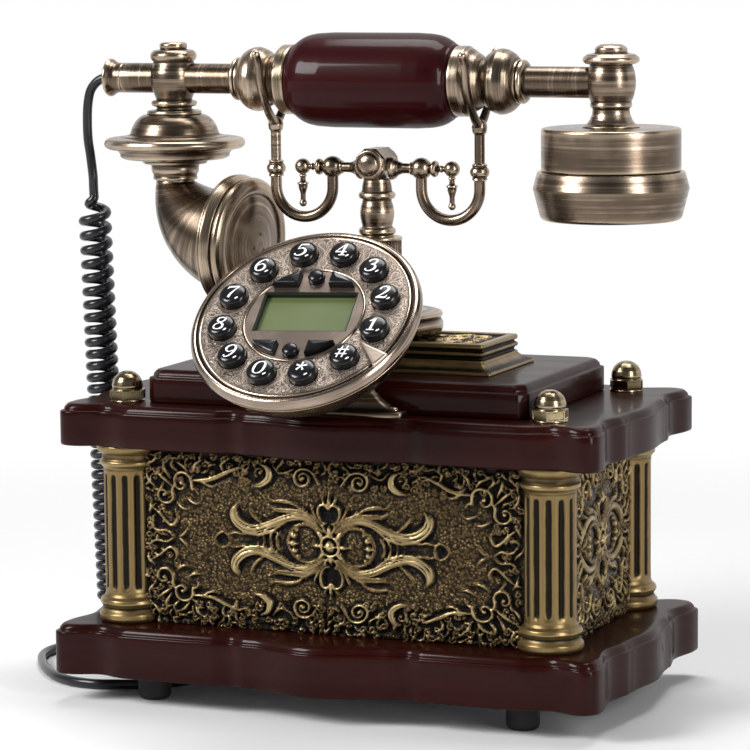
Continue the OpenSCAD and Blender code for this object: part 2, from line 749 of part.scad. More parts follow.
hub_flat = 6.5;
hub_depth = 8;

// Eight-sided hub across the cradle with a domed cap on its front and back.
module cradle_hub() {
    color("#8f8577") place() translate([0, 0, hub_z]) {
        rotate([90, 0, 0]) rotate(22.5)
            translate([0, 0, -hub_depth]) cylinder(h = 2 * hub_depth, r = hub_flat / cos(22.5), $fn = 8);
        for (s = [-1, 1]) rotate([s * 90, 0, 0]) translate([0, 0, hub_depth])
            turned_profile([[0, 0], [6, 0], [6.7, 0.5], [6.7, 1.3], [6.2, 1.8], [4.7, 1.8], [4.4, 2.6],
                [3.6, 3.3], [2, 3.8], [0, 4]]);
    }
}

loop_r = (fork_x - ball_x) / 2;
loop_x = (fork_x + ball_x) / 2;
arm_z = hub_z - 2;
loop_z = arm_z - 8.5;
fork_z = axis_z - 18;

// Centre line of a fork prong from the post outwards, as [depth, height over the fork's root].
function prong_points() = [[0, -1], [3.4, 1], [6.6, 3.6], [9.6, 6.8], [12.4, 10.4], [14.8, 14.4],
    [16.4, 18.6], [17.2, 22.6], [18.2, 26], [20.2, 29.4]];
prong_r = 1.7;

// Tube swept along points in the YZ plane, with rings square to the path.
module swept_prong(points, r, sides) {
    n = len(points);
    function ring_at(i) =
        let (a = points[max(i - 1, 0)], b = points[min(i + 1, n - 1)],
             d = (b - a) / norm(b - a), p = points[i])
        [for (k = [0:sides - 1]) let (c = r * cos(k * 360 / sides), s = r * sin(k * 360 / sides))
            [c, p[0] + s * d[1], p[1] - s * d[0]]];
    verts = [for (i = [0:n - 1]) each ring_at(i)];
    sides_faces = [for (i = [0:n - 2], k = [0:sides - 1]) let (k2 = (k + 1) % sides)
        each [[i * sides + k, (i + 1) * sides + k, (i + 1) * sides + k2],
              [i * sides + k, (i + 1) * sides + k2, i * sides + k2]]];
    polyhedron(verts, concat(sides_faces, [[for (k = [0:sides - 1]) k]],
        [[for (k = [sides - 1:-1:0]) (n - 1) * sides + k]]));
}

// One half of the cradle: cone, rod and balls along X, the bent hook, its ring ornament and
// post, the fork that the handset's neck lies in, and the drop under the small ball.
module hook() {
    tube = hook_tube_d / 2;
    hub_face = hub_flat + seat_gap;
    translate([0, 0, arm_z]) rotate([0, 90, 0]) turned_profile([[0, hub_face], [4.8, hub_face],
        [4.6, 8], [2.8, 10.4], [2.1, 12], [2.1, ball_x - 4], [0, ball_x - 4]]);
    translate([ball_x, 0, arm_z]) sphere(r = ball_r);
    translate([0, 0, arm_z]) rotate([0, 90, 0]) turned_profile([[0, ball_x], [2, ball_x],
        [2, ball_x + 5], [3.3, ball_x + 5.4], [3.6, ball_x + 6.2], [3.3, ball_x + 7.1],
        [1.2, ball_x + 7.6], [1.2, ball_x + 12], [0, ball_x + 12]]);
    translate([ball_x + 13.9, 0, arm_z]) sphere(r = 3.4);
    translate([ball_x + 13.9, 0, arm_z]) turned_profile([[0, 0], [0, -17.4], [0.9, -17.2], [1.6, -16.3],
        [1.7, -15.6], [1.1, -14.4], [1.1, -12], [1.3, -11], [2, -9], [1.9, -8], [2.5, -7.6], [2.5, -7],
        [1.2, -6.4], [1.2, 0]]);
    translate([ball_x, 0, loop_z]) cylinder(h = arm_z - loop_z, r = tube);
    translate([loop_x, 0, loop_z]) rotate([90, 0, 0]) rotate_extrude(angle = -180)
        translate([loop_r, 0]) circle(r = tube, $fn = 24);
    translate([fork_x, 0, loop_z]) cylinder(h = hub_z - loop_z, r = tube);
    translate([fork_x, 0, hub_z - 3]) turned_profile([[0, -3.6], [2.7, -3.6], [3.4, -2.9], [3, -2.2],
        [3.7, -1.5], [4.2, 0], [3.7, 1.5], [3, 2.2], [3.4, 2.9], [2.7, 3.6], [0, 3.6]]);
    translate([fork_x, 0, hub_z]) turned_profile([[0, -1], [2.2, -1], [2.2, fork_z - hub_z - 4],
        [3, fork_z - hub_z - 3], [3.3, fork_z - hub_z - 1], [2.8, fork_z - hub_z + 1],
        [1.4, fork_z - hub_z + 2], [0, fork_z - hub_z + 2.1]]);
    for (s = [0, 1]) mirror([0, s, 0]) translate([fork_x, 0, fork_z]) {
        swept_prong(prong_points(), prong_r, 8);
        translate([0, 20.2, 29.4]) sphere(r = 1.9, $fn = 24);
    }
}

module hook_left() {
    color("#8f8577") place() mirror([1, 0, 0]) hook();
}

module hook_right() {
    color("#8f8577") place() hook();
}

// Handset ------------------------------------------------------------------------------------

spigot_r = 6;

module grip() {
    end_r = collar_r + 0.6;
    color("#4a1211") on_handset() translate([0, 0, -grip_half]) difference() {
        turned_profile([[0, 0], [end_r - 0.8, 0], [end_r, 0.8], [end_r + 1.6, 3], [grip_r - 1.9, 5.6],
            [grip_r - 0.8, 8.4], [grip_r - 0.2, 12], [grip_r, 18], [grip_r, 2 * grip_half - 18],
            [grip_r - 0.2, 2 * grip_half - 12], [grip_r - 0.8, 2 * grip_half - 8.4],
            [grip_r - 1.9, 2 * grip_half - 5.6], [end_r + 1.6, 2 * grip_half - 3],
            [end_r, 2 * grip_half - 0.8], [end_r - 0.8, 2 * grip_half], [0, 2 * grip_half]]);
        translate([0, 0, -1]) cylinder(h = 2 * grip_half + 2, r = spigot_r + seat_gap);
    }
}

// Turned arm from its spigot in the grip outwards: smooth collar, waisted neck, round bead
// with its middle at distance bead_at from the grip's end, step ring, tube.
module arm(length, bead_at) {
    g = grip_half;
    b = g + bead_at;
    waist = bead_at - 12;
    difference() {
        turned_profile([[0, g - 16], [spigot_r, g - 16], [spigot_r, g], [collar_r - 0.5, g],
            [collar_r, g + 0.6], [collar_r, g + 5.2], [collar_r - 0.6, g + 5.9],
            [collar_r - 1.3, g + 5.2 + 0.22 * waist], [collar_r - 2.2, g + 5.2 + 0.38 * waist],
            [collar_r - 2.5, g + 5.2 + 0.46 * waist], [collar_r - 3.3, g + 5.2 + 0.62 * waist],
            [collar_r - 4.3, g + 5.2 + 0.78 * waist], [9.5, g + 5.2 + 0.92 * waist], [9.3, b - 6.8],
            [bead_r - 3.9, b - 6.6], [bead_r - 1.9, b - 4.8], [bead_r - 0.5, b - 2.4], [bead_r, b],
            [bead_r - 0.5, b + 2.6], [bead_r - 1.9, b + 5], [bead_r - 3.7, b + 6.8], [9.3, b + 7],
            [9.3, b + 8.2], [8.6, b + 8.5], [8.6, b + 8.8], [9.2, b + 9.1], [9.2, b + 10.3],
            [8.4, b + 11], [tube_r, b + 11.5], [tube_r, length], [0, length]]);
        translate([0, 0, g - 17]) cylinder(h = length - g + 18, r = 3);
    }
}

module arm_left() {
    color("#8a7763") on_handset() mirror([0, 0, 1]) arm(ferrule_x - 8, 17.4);
}

module arm_right() {
    color("#8a7763") on_handset() arm(ear_x + 3, 20);
}

// Flared end piece of the left tube that the cord comes out of.
module cord_ferrule() {
    color("#8a7763") on_handset() translate([0, 0, -ferrule_x]) difference() {
        turned_profile([[0, 0], [7.3, 0], [8.2, 0.5], [8.3, 1.3], [7.8, 2.1], [7.2, 2.9], [6.8, 3.7],
            [tube_r, 5], [tube_r, 8 - 0.05], [0, 8 - 0.05]]);
        translate([0, 0, -1]) cylinder(h = 10, r = cord_d / 2 + 0.05);
    }
}

module at_mic() {
    place() translate([-mic_x, 0, axis_z]) children();
}

module at_ear() {
    place() translate([ear_x, 0, axis_z]) children();
}

module cross_bore(r) {
    rotate([0, 90, 0]) translate([0, 0, -20]) cylinder(h = 40, r = r);
}

// Tee post over the transmitter with its stacked finial.
module mic_post() {
    color("#8a7763") at_mic() difference() {
        turned_profile([[0, -15.4], [11.9, -15.4], [12, -14.8], [11.6, -13.9], [7.8, -13.6], [7.6, -12.4],
            [9.6, -11.9], [10.1, -10.8], [9.7, -9.8], [7.7, -9.3], [8.6, -7], [9.9, -3.6], [10.4, 0],
            [10, 3.6], [8.6, 7.4], [9.4, 8], [10, 9], [10, 10.6], [9.2, 11.6], [8.4, 12.2], [6, 12.5],
            [5.9, 13], [5.9, 14.8], [5.3, 15.5], [0, 15.7]]);
        cross_bore(tube_r + 0.05);
        translate([0, 0, -16]) cylinder(h = 16, r = 2);
    }
}

// Broad turned disc under the transmitter's post.
module mic_flange() {
    color("#8a7763") at_mic() difference() {
        turned_profile([[0, -15.5], [11.4, -15.5], [13.4, -15.8], [14.9, -16.6], [16.4, -17.9],
            [17.6, -19.4], [18.5, -21.2], [19.1, -23], [19.4, -24.2], [20.6, -24.7], [22.4, -24.9],
            [22.8, -25.4], [26.8, -25.6], [disc_r - 1.8, -25.9], [disc_r - 0.4, -26.8], [disc_r, -28],
            [disc_r - 0.3, -29.4], [disc_r - 2.2, -30.5], [26, -30.9], [24.6, -31.6], [24, -32.4],
            [23.6, -34.2], [22, -34.9], [15, -35.4], [14.2, -36], [13.8, -37.2], [10.6, -37.6],
            [10.3, -38.2], [10.3, -40.8], [9.6, -41.6], [9.6, -44], [0, -44]]);
        translate([0, 0, -45]) cylinder(h = 31, r = 2);
    }
}

horn_top = -44.1;
horn_axis_z = 194.8;
bend_drop = axis_z - horn_axis_z;
bell_len = 11;

// Horn frame: Z runs out of the mouth, origin at the end of the elbow.
module on_horn() {
    at_mic() rotate([0, 0, -horn_turn]) translate([0, 0, -bend_drop]) rotate([0, 90 + horn_dip, 0])
        translate([0, 0, elbow_len]) children();
}

// Radii of the elbow at its two ends, and the line its sections fan out from.
pipe_r = 8.35;
elbow_end_r = 23.2;
throat = 2;
fan = [elbow_len * cos(horn_dip) + (elbow_end_r + throat) * sin(horn_dip),
    -bend_drop - elbow_len * sin(horn_dip) + (elbow_end_r + throat) * cos(horn_dip)];

// Distance of the elbow's inner and outer edge from that line, at share t of the bend.
function inner_edge(t) = throat + (fan[0] - pipe_r - throat) * pow(1 - t, 3.6);
function outer_edge(t) = fan[0] + pipe_r
    + (throat + 2 * elbow_end_r - fan[0] - pipe_r) * pow(t, 1.43);

// Elbow: round sections along a bend that widens like a trumpet towards the bell.
module elbow(sides, steps) {
    function section(c, a, r) = [for (k = [0:sides - 1])
        let (u = r * cos(k * 360 / sides), v = r * sin(k * 360 / sides))
        [c[0] + u * cos(a), v, c[1] + u * sin(a)]];
    rings = concat([section([0, horn_top], 0, pipe_r)],
        [for (i = [0:steps]) let (t = i / steps, a = (90 - horn_dip) * t,
                                  m = (outer_edge(t) + inner_edge(t)) / 2)
            section(fan - m * [cos(a), sin(a)], a, (outer_edge(t) - inner_edge(t)) / 2)]);
    n = len(rings);
    verts = [for (q = rings) each q];
    faces = [for (i = [0:n - 2], k = [0:sides - 1]) let (k2 = (k + 1) % sides)
        each [[i * sides + k, i * sides + k2, (i + 1) * sides + k2],
              [i * sides + k, (i + 1) * sides + k2, (i + 1) * sides + k]]];
    polyhedron(verts, concat(faces, [[for (k = [sides - 1:-1:0]) k]],
        [[for (k = [0:sides - 1]) (n - 1) * sides + k]]));
}

capsule_r = 12;

// Horn: elbow and broad bell with a low cone in its mouth, one casting. Three sound holes
// near the cone's middle lead to the capsule's chamber.
module horn() {
    color("#8a7763") {
        at_mic() rotate([0, 0, -horn_turn]) elbow(32, 16);
        on_horn() difference() {
            turned_profile([[0, -1], [22.6, -1], [24, -0.6], [26.4, -0.3], [bell_r - 0.8, 0],
                [bell_r - 0.2, 0.5], [bell_r, 1.3], [bell_r - 0.2, 2.6], [bell_r - 1, 4.4],
                [bell_r - 1.7, 5.8], [bell_r - 2.4, 6], [bell_r - 2.4, 6.5], [bell_r - 1.5, 6.8],
                [bell_r - 0.9, 7.8], [bell_r - 0.9, 8.8], [bell_r - 1.6, 10], [bell_r - 3.2, 11],
                [bell_r - 5.4, bell_len + 0.4], [bell_r - 7.2, bell_len], [bell_r - 7.8, bell_len - 0.4],
                [6, bell_len + 2.8], [3, bell_len + 3.3], [0, bell_len + 3.4]]);
            translate([0, 0, 1]) cylinder(h = 7, r = capsule_r + seat_gap);
            for (a = [0:120:240]) rotate(a) translate([3.8, 0, 7]) cylinder(h = 9, r = 0.8);
        }
    }
}

module mic_capsule() {
    color("#2b2b2e") on_horn() translate([0, 0, 1.1]) cylinder(h = 6.8, r = capsule_r);
}

module receiver_post() {
    color("#8a7763") at_ear() difference() {
        turned_profile([[0, -18.4], [12, -18.4], [12.1, -17.9], [10, -17.1], [8.8, -15.2], [7.8, -12.8],
            [7.6, -10.4], [8.6, -10], [8.8, -9], [8.5, -7.8], [9.6, -5], [10.2, -1.5], [10.3, 1],
            [9.8, 4.5], [8.7, 7.7], [10.9, 8.1], [11.7, 8.9], [11.9, 9.7], [11.5, 10.7], [10.3, 11.4],
            [9.8, 12.1], [7, 12.3], [6.7, 12.7], [6.7, 14.2], [6, 15], [4.4, 15.8], [0, 16.1]]);
        rotate([0, 90, 0]) translate([0, 0, -20]) cylinder(h = 24, r = tube_r + 0.05);
        translate([0, 0, -19]) cylinder(h = 18, r = 2);
    }
}

cap_h = 18;

module receiver_cap() {
    color("#94836f") at_ear() translate([0, 0, -18.5 - cap_h]) difference() {
        turned_profile([[0, 0], [cap_r, 0], [cap_r, cap_h - 1.2], [cap_r - 1, cap_h], [0, cap_h]]);
        translate([0, 0, -1]) cylinder(h = cap_h - 2, r = cap_r - 3);
        cylinder(h = cap_h + 1, r = 2);
    }
}

// Ring that screws under the cap and holds the driver over its sound holes.
module receiver_ring() {
    color("#94836f") at_ear() translate([0, 0, -18.6 - cap_h]) difference() {
        turned_profile([[0, 0], [cap_r + 1.5, 0], [cap_r + 1.8, -0.4], [ring_r, -6.9],
            [cap_r + 0.5, -18.4], [cap_r - 0.3, -19.6], [cap_r - 1.8, -20.2], [24, -20.2], [22, -19.2],
            [0, -18.8]]);
        translate([0, 0, -15.4]) cylinder(h = 17, r = driver_r + seat_gap);
        for (a = [0:60:300]) rotate(a) translate([9, 0, -21]) cylinder(h = 7, r = 1.5);
        translate([0, 0, -21]) cylinder(h = 7, r = 1.5);
    }
}

driver_r = 24;

module receiver_driver() {
    color("#2b2b2e") at_ear() translate([0, 0, -18.6 - cap_h - 15.3]) {
        cylinder(h = 5, r = driver_r);
        translate([0, 0, 5]) cylinder(h = 8, r = 13);
    }
}

// Cord ---------------------------------------------------------------------------------------

// Route of the free lead from the ferrule to the coil, in the bench frame.
lead_route = [[-122, 0, 263.1], [-127, 0, 263.1], [-130.6, 0, 262.2], [-133.6, 0, 260],
    [-135.8, 0, 256.6], [-137, 0, 251], [-137.4, 0, 244], [-137.2, 0, 236], [-136.2, 0, 229],
    [-134.99, -0.28, 220.04], [-135, 0, 216]];
// Axis of the coil, top and bottom.
coil_top = [-135, 0, 216];
coil_end = [-135.5, 14, 14];
// Route of the tail on the standing surface and up into the socket under the phone.
tail_route = [[-135.5, 14, 14], [-135.51, 14.28, 9.96], [-138, 18, 4.6], [-143, 22, 2.4], [-149, 25, 2.2],
    [-156, 26, 2.2], [-162, 23, 2.2], [-166, 17, 2.2], [-167, 9, 2.2], [-165, 0, 2.2],
    [-160, -10, 2.2], [-153, -21, 2.2], [-145, -31, 2.2], [-136, -39, 2.2], [-126, -44, 2.2],
    [-115, -45, 2.2], [-104, -42, 2.2], [-94, -37.6, 2.2], [-86, -33, 2.4], [-78, -28, 3.2],
    [socket_x - 5.4, socket_y - 3.6, 5.2], [socket_x - 1.4, socket_y - 0.8, 8.2],
    [socket_x, socket_y, 12], [socket_x, socket_y, 16]];

// Frame-by-frame tube along a route: each ring is square to the path and turned least.
function unit(v) = v / norm(v);
function tangent(p, i) = unit(p[min(i + 1, len(p) - 1)] - p[max(i - 1, 0)]);
function carry(n, t) = unit(n - t * (n * t));
function normals(p, i, n, out) = i == len(p) ? out :
    let (m = carry(n, tangent(p, i))) normals(p, i + 1, m, concat(out, [m]));

module cord_tube(route, d, sides, start_normal) {
    ns = normals(route, 0, start_normal, []);
    n = len(route);
    verts = [for (i = [0:n - 1]) let (t = tangent(route, i), b = cross(t, ns[i]))
        for (k = [0:sides - 1]) route[i] + d / 2 * (cos(k * 360 / sides) * ns[i] + sin(k * 360 / sides) * b)];
    faces = [for (i = [0:n - 2], k = [0:sides - 1]) let (k2 = (k + 1) % sides)
        each [[i * sides + k, (i + 1) * sides + k, (i + 1) * sides + k2],
              [i * sides + k, (i + 1) * sides + k2, i * sides + k2]]];
    caps = concat([for (k = [1:sides - 2]) [0, k, k + 1]],
        [for (k = [1:sides - 2]) [(n - 1) * sides, (n - 1) * sides + k + 1, (n - 1) * sides + k]]);
    polyhedron(verts, concat(faces, caps));
}

// Curls: a straight lead-in of one cord diameter at each end, and a helix that opens from
// the axis in its first curl and closes onto it in its last.
curl_r = (curl_od - cord_d) / 2;
rings_per_curl = 8;
coil_axis = coil_end - coil_top;
coil_len = norm(coil_axis);
coil_dir = unit(coil_axis);
coil_u = unit(cross(coil_dir, [0, 1, 0]));
coil_v = cross(coil_dir, coil_u);
end_curl = 9;
even_share = 0.89;

// Share of the middle curls' length used up at x of them: wider curls at the loaded top.
function coil_share(x) = even_share * x + (1 - even_share) * (1 - pow(1 - x, 4));

// How far the cord stands off the axis after t curls, from 0 at both ends.
function opening(t) = let (e = min(t, curls - t)) e < 1 ? (1 - cos(180 * e)) / 2 : 1;

// Length along the axis after t curls: the first and last curl are stretched.
function coil_rise(t, run) = t < 1 ? end_curl * t : t > curls - 1 ? run - end_curl * (curls - t) :
    end_curl + (run - 2 * end_curl) * coil_share((t - 1) / (curls - 2));

function coil_route() =
    let (run = coil_len - 2 * cord_d)
    concat([coil_top],
        [for (i = [0:curls * rings_per_curl])
            let (t = i / rings_per_curl, a = 360 * t, r = curl_r * opening(t))
            coil_top + coil_dir * (cord_d + coil_rise(t, run)) + r * (cos(a) * coil_u + sin(a) * coil_v)],
        [coil_end]);

// Least distance between the cord's surface on neighbouring curls.
function curl_gaps(p) = [for (i = [1:len(p) - 2 - rings_per_curl], j = [-4:2])
    let (k = i + rings_per_curl + j) if (k < len(p) - 1) norm(p[k] - p[i]) - cord_d];
echo(least_curl_gap = min(curl_gaps(coil_route())));

module cord_lead() {
    color("#101012") place() cord_tube(lead_route, cord_d, 8, [0, 1, 0]);
}

module curly_cord() {
    color("#101012") place() cord_tube(coil_route(), cord_d, 6, coil_u);
}

module cord_tail() {
    color("#101012") place() cord_tube(tail_route, cord_d, 8, [1, 0, 0]);
}

base_plate();
rubber_feet();
bottom_cover();
body_shell();
corner_columns();
tie_rods();
acorn_nuts();
top_board();
upper_tier();
pedestal();
fluted_column();
hook_spring();
hook_switch();
main_board();
ringer();
line_jack();
cord_socket();
dial_stem();
dial_housing();
dial_face();
keypad_board();
lcd_glass();
finger_stop();
cradle_stem();
cradle_hub();
hook_left();
hook_right();
grip();
arm_left();
arm_right();
mic_post();
mic_flange();
horn();
mic_capsule();
cord_ferrule();
receiver_post();
receiver_cap();
receiver_ring();
receiver_driver();
dial_key(0);  // key_1
dial_key(1);  // key_2
dial_key(2);  // key_3
dial_key(3);  // key_4
dial_key(4);  // key_5
dial_key(5);  // key_6
dial_key(6);  // key_7
dial_key(7);  // key_8
dial_key(8);  // key_9
dial_key(9);  // key_0
dial_key(10);  // key_star
dial_key(11);  // key_hash
leaf_key("upper_left_key");  // upper_left_key
small_key(1);  // upper_middle_key
leaf_key("upper_right_key");  // upper_right_key
leaf_key("lower_left_key");  // lower_left_key
small_key(-1);  // lower_middle_key
leaf_key("lower_right_key");  // lower_right_key
cord_lead();
curly_cord();
cord_tail();
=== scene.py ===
"""Finishes, carving, engraving and cord of a French-style cradle telephone."""
import math
import bmesh
import bpy
import numpy as np
from mathutils import Matrix, Vector


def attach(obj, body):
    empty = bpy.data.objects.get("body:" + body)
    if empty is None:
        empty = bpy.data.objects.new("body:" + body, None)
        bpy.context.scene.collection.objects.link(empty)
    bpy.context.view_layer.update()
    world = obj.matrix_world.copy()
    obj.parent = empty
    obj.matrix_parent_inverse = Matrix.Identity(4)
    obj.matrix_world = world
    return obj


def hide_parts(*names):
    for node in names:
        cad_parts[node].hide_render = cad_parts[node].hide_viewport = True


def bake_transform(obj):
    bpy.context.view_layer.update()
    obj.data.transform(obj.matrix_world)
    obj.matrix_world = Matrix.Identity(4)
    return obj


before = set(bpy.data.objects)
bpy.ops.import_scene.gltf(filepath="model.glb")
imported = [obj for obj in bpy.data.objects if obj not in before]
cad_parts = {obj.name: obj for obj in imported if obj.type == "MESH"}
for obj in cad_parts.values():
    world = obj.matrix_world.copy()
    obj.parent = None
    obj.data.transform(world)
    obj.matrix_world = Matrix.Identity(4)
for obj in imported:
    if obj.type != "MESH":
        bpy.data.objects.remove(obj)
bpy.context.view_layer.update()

# ---------------------------------------------------------------- sizes, in millimetres
# Shapes are laid out on a bench: centre column on the Z axis, front towards -Y. The frame's
# origin is MID on that bench.
MM = 0.001
MID = np.array([5.4, -16.794, 0.0])

FOOT_H, BASE_TOP, BODY_TOP, BOARD_TOP, TIER_TOP = 12.0, 33.5, 110.0, 128.0, 142.0
PED_TOP, GUIDE_TOP, HUB_Z, AXIS_Z = 154.5, 196.7, 227.9, 263.1
BASE_W, BASE_D, TOP_W, TOP_D, TIER_W, TIER_D = 245.0, 146.0, 242.0, 135.5, 172.0, 104.0
EAR_R, BOW, DIP = 6.0, 8.0, 4.0
COL_X, COL_Y, SHELL_X, SHELL_Y = 95.5, 49.5, 101.5, 55.5
BODY_H = BODY_TOP - BASE_TOP
GRIP_HALF, COLLAR_R, GRIP_R, BEAD_R, TUBE_R = 37.0, 14.9, 20.2, 13.9, 6.5
MIC_X, EAR_X, DISC_R, CAP_R, RING_R, BELL_R = 95.0, 105.0, 30.8, 29.1, 32.6, 29.2
FERRULE_X = MIC_X + 31.4
HORN_TURN, HORN_DIP, HORN_AXIS_Z, ELBOW_LEN, BELL_LEN = 8.5, 3.2, 194.8, 29.0, 11.0
DIAL_X, DIAL_Y, DIAL_Z, DIAL_TILT, DIAL_ROLL, DIAL_R = 0.0, 79.7, 171.3, 40.0, 2.4, 48.9
KEY_RING_R, KEY_R, KEY_H, KEY_GAP, FACE_T = 34.4, 5.9, 4.6, 0.3, 2.5
LCD_W, LCD_H, LCD_UP = 41.0, 22.0, 2.0
SMALL_KEY_R, SMALL_KEY_Y = 3.3, 20.6
CORD_D = 4.2


def to_frame(points):
    """Bench millimetres to metres in the frame."""
    return (np.asarray(points, float) - MID) * MM


# ---------------------------------------------------------------- places
def move(x, y, z):
    m = np.eye(4)
    m[:3, 3] = (x, y, z)
    return m


def turn(axis, degrees):
    return np.array(Matrix.Rotation(math.radians(degrees), 4, axis))


def mirror(x, y, z):
    return np.diag([float(x), y, z, 1])


def placed(m, points):
    points = np.asarray(points, float)
    return points @ m[:3, :3].T + m[:3, 3]


ON_HANDSET = move(0, 0, AXIS_Z) @ turn("Y", 90)
ON_DIAL = move(DIAL_X, -DIAL_Y, DIAL_Z) @ turn("X", DIAL_TILT) @ turn("Z", DIAL_ROLL)
AT_MIC = move(-MIC_X, 0, AXIS_Z)
AT_EAR = move(EAR_X, 0, AXIS_Z)

# ---------------------------------------------------------------- camera
CAMERA_AT = (567.0, -1388.56, 332.7)
CAMERA_TURN, CAMERA_PITCH, CAMERA_ROLL = 22.27, 7.44, -0.49
CAMERA_LENS, SENSOR_W = 169.07, 36


def linked(name, data):
    """An object of the given data, in the scene."""
    made = bpy.data.objects.new(name, data)
    bpy.context.scene.collection.objects.link(made)
    return made


def make_camera():
    """Long lens, to the right of the front and slightly above."""
    a, b, c = (math.radians(x) for x in (CAMERA_TURN, CAMERA_PITCH, CAMERA_ROLL))
    ahead = Vector((-math.sin(a) * math.cos(b), math.cos(a) * math.cos(b), -math.sin(b)))
    level = Vector((math.cos(a), math.sin(a), 0))
    upward = level.cross(ahead)
    right = level * math.cos(c) + upward * math.sin(c)
    top = upward * math.cos(c) - level * math.sin(c)
    camera = linked("camera", bpy.data.cameras.new("camera"))
    camera.data.lens, camera.data.sensor_width, camera.data.clip_end = CAMERA_LENS, SENSOR_W, 20
    m = Matrix((right, top, -ahead)).transposed().to_4x4()
    m.translation = Vector(to_frame(CAMERA_AT))
    camera.matrix_world = m
    bpy.context.scene.camera = camera


make_camera()


# ---------------------------------------------------------------- materials
class Value:
    """A socket that takes part in Python sums."""

    def __init__(self, tree, socket):
        self.tree, self.socket = tree, socket

    def _sum(self, operation, a, b=0.0):
        node = self.tree.nodes.new("ShaderNodeMath")
        node.operation = operation
        for i, x in enumerate((a, b)):
            if isinstance(x, Value):
                self.tree.links.new(x.socket, node.inputs[i])
            else:
                node.inputs[i].default_value = x
        return Value(self.tree, node.outputs[0])

    def __add__(self, other):
        return self._sum("ADD", self, other)

    __radd__ = __add__

    def __sub__(self, other):
        return self._sum("SUBTRACT", self, other)

    def __rsub__(self, other):
        return self._sum("SUBTRACT", other, self)

    def __mul__(self, other):
        return self._sum("MULTIPLY", self, other)

    __rmul__ = __mul__

    def most(self, other):
        return self._sum("MAXIMUM", self, other)

    def least(self, other):
        return self._sum("MINIMUM", self, other)

    def sine(self):
        return self._sum("SINE", self)

    def absolute(self):
        return self._sum("ABSOLUTE", self)

    def clamp(self):
        return self.most(0.0).least(1.0)


class Finish:
    """One material: its shader, and short calls for the nodes that vary over a surface."""

    def __init__(self, name, **plain):
        self.material = bpy.data.materials.new(name)
        self.material.use_nodes = True
        self.tree = self.material.node_tree
        self.shader = self.tree.nodes["Principled BSDF"]
        for key, value in plain.items():
            self.shader.inputs[key.replace("_", " ")].default_value = value

    def node(self, kind, settings=None, inputs=None, output=0):
        node = self.tree.nodes.new(kind)
        for key, value in (settings or {}).items():
            setattr(node, key, value)
        for key, value in (inputs or {}).items():
            if isinstance(value, Value):
                self.tree.links.new(value.socket, node.inputs[key])
            else:
                node.inputs[key].default_value = value
        return Value(self.tree, node.outputs[output])

    def feed(self, socket, value):
        self.tree.links.new(value.socket, self.shader.inputs[socket])

    def place(self):
        return self.node("ShaderNodeTexCoord", output="Object")

    def wrap(self):
        return self.node("ShaderNodeUVMap", {"uv_map": "wrap"})

    def stretch(self, vector, x, y, z):
        return self.node("ShaderNodeMapping", inputs={"Vector": vector, "Scale": (x, y, z)})

    def noise(self, vector, scale, detail=3.0, rough=0.5):
        return self.node("ShaderNodeTexNoise", inputs={
            "Vector": vector, "Scale": scale, "Detail": detail, "Roughness": rough})

    def cells(self, vector, scale):
        return self.node("ShaderNodeTexVoronoi", {"feature": "F1"},
                         {"Vector": vector, "Scale": scale})

    def scratches(self, wrap):
        """Long fine lines of a brush, along the wrap."""
        return self.noise(self.stretch(wrap, 14, 3600, 1), 1.0, 4.0, 0.7)

    def painted(self, name):
        return self.node("ShaderNodeAttribute", {"attribute_name": name}, output="Fac")

    def mix(self, share, a, b):
        """Colour a where share is 0, colour b where it is 1."""
        node = self.tree.nodes.new("ShaderNodeMix")
        node.data_type = "RGBA"
        for key, value in (("Factor_Float", share), ("A_Color", a), ("B_Color", b)):
            socket = next(s for s in node.inputs if s.identifier == key)
            if isinstance(value, Value):
                self.tree.links.new(value.socket, socket)
            else:
                socket.default_value = value if key == "Factor_Float" else (*value, 1.0)
        return Value(self.tree, next(s for s in node.outputs if s.identifier == "Result_Color"))

    def ramp(self, share, low, high):
        """0 below low, 1 above high, smooth between."""
        return self.node("ShaderNodeMapRange", {"interpolation_type": "SMOOTHSTEP"},
                         {"Value": share, "From Min": low, "From Max": high})

    def bump(self, height, distance, strength=1.0):
        self.feed("Normal", self.node("ShaderNodeBump", inputs={
            "Height": height, "Distance": distance, "Strength": strength}))


# Dark colour of the grooves: patina, and painted shade where shade marks feed the grooves.
GROOVE_DARK = (0.018, 0.013, 0.010)


def lacquered_wood(name, low, high):
    """Dark stained wood: long grain and pores under a thin coat."""
    f = Finish(name, Roughness=0.4, Coat_Weight=0.2, Coat_Roughness=0.1, Specular_IOR_Level=0.06)
    place = f.place()
    grain = f.noise(f.stretch(place, 9, 160, 160), 1.0, 5.0, 0.6)
    pores = f.noise(f.stretch(place, 60, 1500, 1500), 1.0, 2.0)
    cloud = f.noise(place, 9.0, 2.0)
    share = (grain * 0.75 + cloud * 0.45 - 0.2 + (pores - 0.5) * 0.25).clamp()
    f.feed("Base Color", f.mix(share, low, high))
    f.feed("Roughness", 0.34 + grain * 0.16)
    f.bump(f.noise(place, 45.0, 2.0), 0.0002, 0.12)
    return f.material


